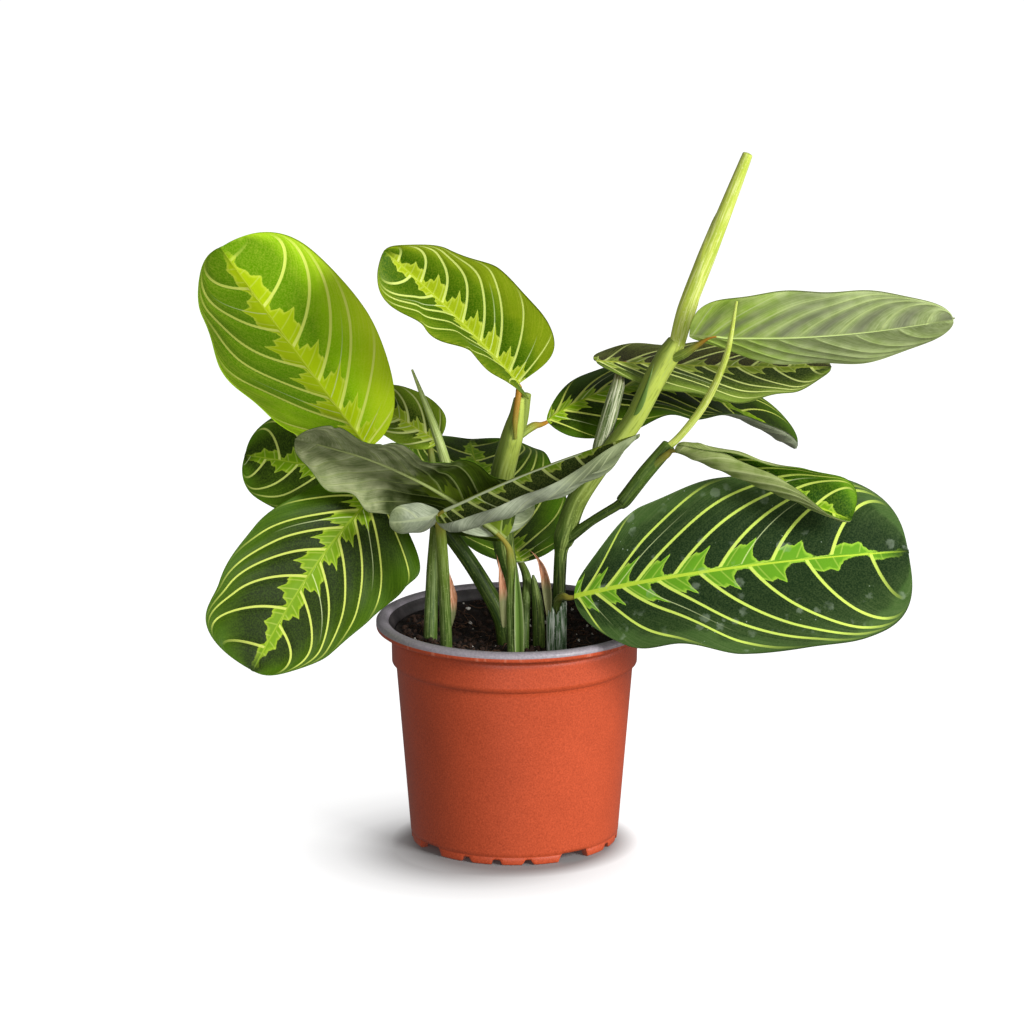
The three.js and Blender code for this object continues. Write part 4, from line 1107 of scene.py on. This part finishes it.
def pot_patch():
    """A lathe of the pot's profile, its foot ring lifted to the notches: z = max(z, notch height)."""
    outer = [
        (0, 0), (PAD, 0), (PAD + 1.8, FLOOR), (RING_INNER, FLOOR), (RING_INNER + 0.2, 2.5),
        (RING_INNER + 0.4, 0), (POT_FOOT - 0.6, 0), (POT_FOOT - 0.1, 0.3), (POT_FOOT, 0.8),
        (POT_FOOT + 0.25, 3.3), (POT_FOOT + 0.05, 3.6), (POT_FOOT + 0.4, 3.9), (WALL_TOP, COLLAR_FOOT - 1.5),
        (WALL_TOP + 0.3, COLLAR_FOOT - 0.8), (COLLAR, COLLAR_FOOT), (COLLAR + 0.2, 91.6),
        (COLLAR + 0.05, 91.9), (COLLAR + 0.3, 92.2), (COLLAR + 0.6, LIP_FOOT), (RIM - 0.7, LIP_FOOT),
        (RIM - 0.15, LIP_FOOT + 0.4), (RIM, LIP_FOOT + 1.1), (RIM, LIP_FOOT + 1.9),
    ]
    lip = [
        (RIM, LIP_FOOT + 3), (RIM - 0.5, HEIGHT - 0.7), (RIM - 1.2, HEIGHT - 0.3), (RIM - 2.6, HEIGHT),
        (LIP_INNER + 1, HEIGHT - 0.4), (LIP_INNER + 0.2, HEIGHT - 1), (LIP_INNER, HEIGHT - 1.6),
    ]
    inner = [
        (BORE, LIP_FOOT - 1), (BORE, COLLAR_FOOT + 0.4), (WALL_TOP - WALL, COLLAR_FOOT - 1.1),
        (POT_FOOT - WALL + 0.4, FLOOR + WALL), (PAD + 1.4, FLOOR + WALL), (PAD - 0.4, WALL), (0, WALL),
    ]
    profile = np.array(outer + lip + inner, dtype=float)
    length = np.concatenate([[0], np.cumsum(np.linalg.norm(np.diff(profile, axis=0), axis=1))])
    # Rows stand at every corner of the profile and about ROW_STEP apart between them.
    counts = np.maximum(2, (np.diff(length) / ROW_STEP).astype(int) + 1)
    spans = [np.linspace(a, b, count) for a, b, count in zip(length[:-1], length[1:], counts)]
    rows = np.unique(np.round(np.concatenate([length, *spans]), 5))
    r = np.interp(rows, length, profile[:, 0])
    z = np.interp(rows, length, profile[:, 1])
    angle = np.linspace(0, TURN, POT_SIDES, endpoint=False)
    degrees = np.degrees(angle)
    height = np.zeros_like(degrees)
    for quarter in range(0, 360, 90):
        for middle, span, tall in NOTCHES:
            away = np.abs((degrees - middle - quarter + 180) % 360 - 180) - span / 2
            slant = np.degrees(NOTCH_SLANT * tall / POT_FOOT)
            height = np.maximum(height, tall * np.clip(-away / slant, 0, 1))
    ring = (r > RING_INNER - 0.1) & (z < 4.5) & (length.searchsorted(rows) < len(outer))
    lifted = np.where(ring[:, None], np.maximum(z[:, None], height[None, :]), z[:, None])
    # Angles run from the front, -Y, towards +X.
    grid = np.stack([r[:, None] * np.sin(angle), -r[:, None] * np.cos(angle), lifted], axis=-1)
    patch = patch_of(grid, closed=True)
    # The outside, the lip and the inside have their own slots.
    middles = (rows[:-1] + rows[1:]) / 2
    slots = np.searchsorted([length[len(outer) - 1], length[len(outer + lip) - 1]], middles)
    patch["slot"] = np.repeat(slots, len(angle))
    return patch


pot = make("nursery_pot", pot_patch(), [terracotta, lip_grey, inner_grey])
stand_for(pot, "pot", "pot")


# Peat with its crumbs, perlite and fibres: a lump's rings and sides, how far from the middle a fibre
# starts and how far out it may lie.
LUMP = 6
FIBRE_START = 46
FIBRE_EDGE = 49


def ground_height(x, y):
    """The peat's top: its level with broad swells and small lumps, sinking a little at the pot's wall.
    From half-way out it rises by up to 5 mm to the back and the left."""
    at = np.stack([x, y], axis=-1)
    away = np.hypot(x, y) / BORE
    bank = 5 * smooth(2 * away - 0.9) * smooth(0.6 + y / 50 - x / 150)
    lumps = 0.9 * rough(at, 26, 5) + 0.55 * rough(at, 6, 6) + 0.3 * rough(at, 2.4, 7)
    return SOIL_LEVEL + bank + lumps * (1 - away**6)


def peat_patch():
    """A lathe of the filling whose top is the peat's height field."""
    top = BORE - 0.3
    angle = np.linspace(0, TURN, 240, endpoint=False)
    rings = np.linspace(0, top, 72)[::-1]
    x, y = rings[:, None] * np.cos(angle), rings[:, None] * np.sin(angle)
    upper = np.stack([x, y, ground_height(x, y)], axis=-1)
    r, z = np.array([(0, 6), (40, 6), (49, 78), (top, 81)]).T[..., None]
    lower = np.stack([r * np.cos(angle), r * np.sin(angle), z + 0 * angle], axis=-1)
    return patch_of(np.concatenate([lower, upper]), closed=True)


def crumbs_patch(count, low, high, flatness, seed):
    """Lumps on the peat: balls of 6 by 5 faces, their radius varied by noise, squashed, turned and set
    half deep, as arrays over all lumps at once."""
    random = np.random.default_rng(seed)
    size = random.uniform(low, high, count)
    away = (BORE - 3) * np.sqrt(random.uniform(0, 1, count))
    about = random.uniform(0, TURN, count)
    x, y = away * np.cos(about), away * np.sin(about)
    centre = np.stack([x, y, ground_height(x, y) + 0.1 * size], axis=-1)
    down = np.linspace(0, math.pi, LUMP)
    over = np.linspace(0, TURN, LUMP, endpoint=False)
    across = np.sin(down)[:, None]
    ball = [across * np.cos(over), across * np.sin(over), np.cos(down)[:, None] + 0 * over]
    ball = np.stack(ball, axis=-1)
    noise = rough(ball[None] + 9 * centre[:, None, None] / size[:, None, None, None], 1.6, seed)
    squash = [np.ones(count), random.uniform(0.6, 1, count), random.uniform(flatness, 1, count)]
    lump = ball[None] * (1 + 0.22 * noise[..., None]) * np.stack(squash, axis=-1)[:, None, None]
    axis = unit(random.normal(size=(count, 3)))
    second = unit(np.cross(axis, random.normal(size=(count, 3))))
    frame_of = np.stack([axis, second, np.cross(axis, second)], axis=1)
    lump = lump * (size / 2)[:, None, None, None]
    placed = np.einsum("nijk,nkl->nijl", lump, frame_of) + centre[:, None, None]
    one = patch_of(placed[0], closed=True)["faces"]
    faces = (one[None] + (np.arange(count) * LUMP**2)[:, None, None]).reshape(-1, 4)
    slots = np.zeros(len(faces), dtype=int)
    return {"points": placed.reshape(-1, 3), "faces": faces, "slot": slots, "facts": {}}


def fibres_patch(count, seed):
    """Coir fibres: thin bent tubes that lie on the peat, each a parabola between two ends."""
    random = np.random.default_rng(seed)
    fibres = []
    for _ in range(count):
        away = FIBRE_START * math.sqrt(random.uniform(0, 1))
        about, heading = random.uniform(0, TURN, 2)
        start = np.array([away * math.cos(about), away * math.sin(about)])
        run = random.uniform(5, 13) * np.array([math.cos(heading), math.sin(heading)])
        bend = random.uniform(-2.5, 2.5) * np.array([-math.sin(heading), math.cos(heading)])
        share = np.linspace(0, 1, 6)[:, None]
        flat = start + run * share + bend * 4 * share * (1 - share)
        far = np.maximum(np.linalg.norm(flat, axis=1), 1e-6)[:, None]
        flat = flat * np.minimum(1, FIBRE_EDGE / far)
        arch = 4 * share[:, 0] * (1 - share[:, 0])
        z = ground_height(flat[:, 0], flat[:, 1]) + 0.3 + random.uniform(0, 0.9) * arch
        radius = np.full(6, random.uniform(0.1, 0.22))
        fibres.append(tube(np.column_stack([flat, z, radius]), sides=5, steps=2))
    return join(fibres)


peat_top = make("peat_filling", peat_patch(), [peat])
stand_for(peat_top, "peat", "soil")
for name, patch, material in (
    ("bark_crumbs", crumbs_patch(900, 1.0, 3.4, 0.4, 21), bark),
    ("perlite_grains", crumbs_patch(70, 0.8, 2.2, 0.7, 22), perlite),
    ("coir_fibres", fibres_patch(70, 23), fibre),
):
    stand_for(make(name, patch, [material], weld=0.0005), "peat")


# Stems and sheaths.
def ribbed(angle, run):
    """A stem's shallow ridges: 3% of the radius, five round it, turning slowly along it."""
    return 0.03 * np.cos(5 * angle + 0.03 * run) + 0.012 * np.cos(9 * angle)


for name, tubes in STEMS.items():
    slots = {"stem_right": (0, 1), "stem_left": (1,)}.get(name, (0, 0))
    parts = [tube(way, sides=28, steps=12, relief=ribbed, slot=slot) for way, slot in zip(tubes, slots)]
    stand_for(make(f"{name}_skin", join(parts), [stem_green, stem_green_shaded]), "stem", name)

closed_sheath = make("closed_sheath", tube(CLOSED_SHEATH, sides=24, relief=ribbed), [stem_green])
stand_for(closed_sheath, "sheath", "sheath_closed")


def cut_sheath_patch():
    """A tube whose rim stands at z = top - notch (1 - |x| / 3), so a V opens in front and behind."""
    angle = np.linspace(0, TURN, 72, endpoint=False)
    round_x, round_y = np.cos(angle)[None, :], np.sin(angle)[None, :]
    dip = CUT_SHEATH["notch"] * np.maximum(0, 1 - np.abs(CUT_SHEATH["radius"] * round_x) / 3)
    torn = np.abs(rough(np.stack([round_x, round_y], axis=-1), 0.5, 31))
    rim = CUT_SHEATH["top"] - dip - 0.5 * torn
    up = FOOT + (rim - FOOT) * np.linspace(0, 1, 30)[:, None]
    down = rim + (CUT_SHEATH["floor"] - rim) * np.linspace(0, 1, 14)[:, None]
    outer = CUT_SHEATH["radius"] * (1 + 0.03 * np.cos(5 * angle)) + 0 * up
    z = np.concatenate([up[:1], up, down, down[-1:]])
    radius = np.concatenate([0 * up[:1], outer, CUT_SHEATH["bore"] + 0 * down, 0 * up[:1]])
    x, y = CUT_SHEATH["place"]
    grid = np.stack([x + radius * round_x, y + radius * round_y, z], axis=-1)
    return patch_of(grid, closed=True, round_x=round_x, round_y=round_y, run=z - FOOT)


cut_patch = join([cut_sheath_patch(), *blade_patches({**SMALL, **CUT_STRIP, **BRACT}, (1, 1))])
stand_for(make("cut_sheath", cut_patch, [sheath_scuffed, dry_bract]), "sheath", "sheath_cut")

flaps = join([patch for flap in FLAPS for patch in blade_patches({**SMALL, **flap}, (0, 0))])
stand_for(make("sheath_flaps", flaps, [sheath_edge]), "sheath")

# Leaves: each one's upper face, underside and stalk.
FACES = {
    "leaf_upper_left": (lime_face, pale_under, stalk_green),
    "leaf_upper_centre": (moss_face, pale_under, stalk_amber),
    "leaf_lower_left": (shaded_face, silver_under, stalk_green),
    "leaf_small_back": (pale_face, silver_under, stalk_green),
    "leaf_front_left": (green_face, olive_under, stalk_green),
    "leaf_top_right": (moss_face, pale_under, stalk_amber),
    "leaf_front_right": (folded_face, front_under, stalk_green),
    "leaf_middle_right": (shaded_face, silver_under, stalk_amber),
    "leaf_lower_right": (deep_face, silver_under, stalk_green),
    "leaf_back_right": (dusk_face, silver_under, sheath_silver),
    "leaf_curled_right": (fresh_face, curled_under, stalk_green),
}
for name, blade in LEAVES.items():
    upper, under, stalk = FACES.get(name, (green_face, silver_under, stalk_green))
    slot = "lime_leaf" if upper in (lime_face, moss_face) else "dark_leaf"
    stand_for(make(f"{name}_blade", leaf_patch(blade), [upper, under, stalk, dry_bract]), slot, name)

for name, (stations, winds) in ROLLED.items():
    whole = sum(math.dist(a[:3], b[:3]) for a, b in zip(stations, stations[1:]))

    def rolled(angle, run):
        """A rolled blade: the free edge stands out by 10% and winds round on the way up."""
        return 0.1 * ((angle / TURN + winds * run / whole) % 1) - 0.06

    patch = tube(stations, sides=40, steps=16, relief=rolled)
    finish = young_pale if name == "young_leaf_left" else young_lime
    stand_for(make(f"{name}_roll", patch, [finish]), "young_leaf", name)
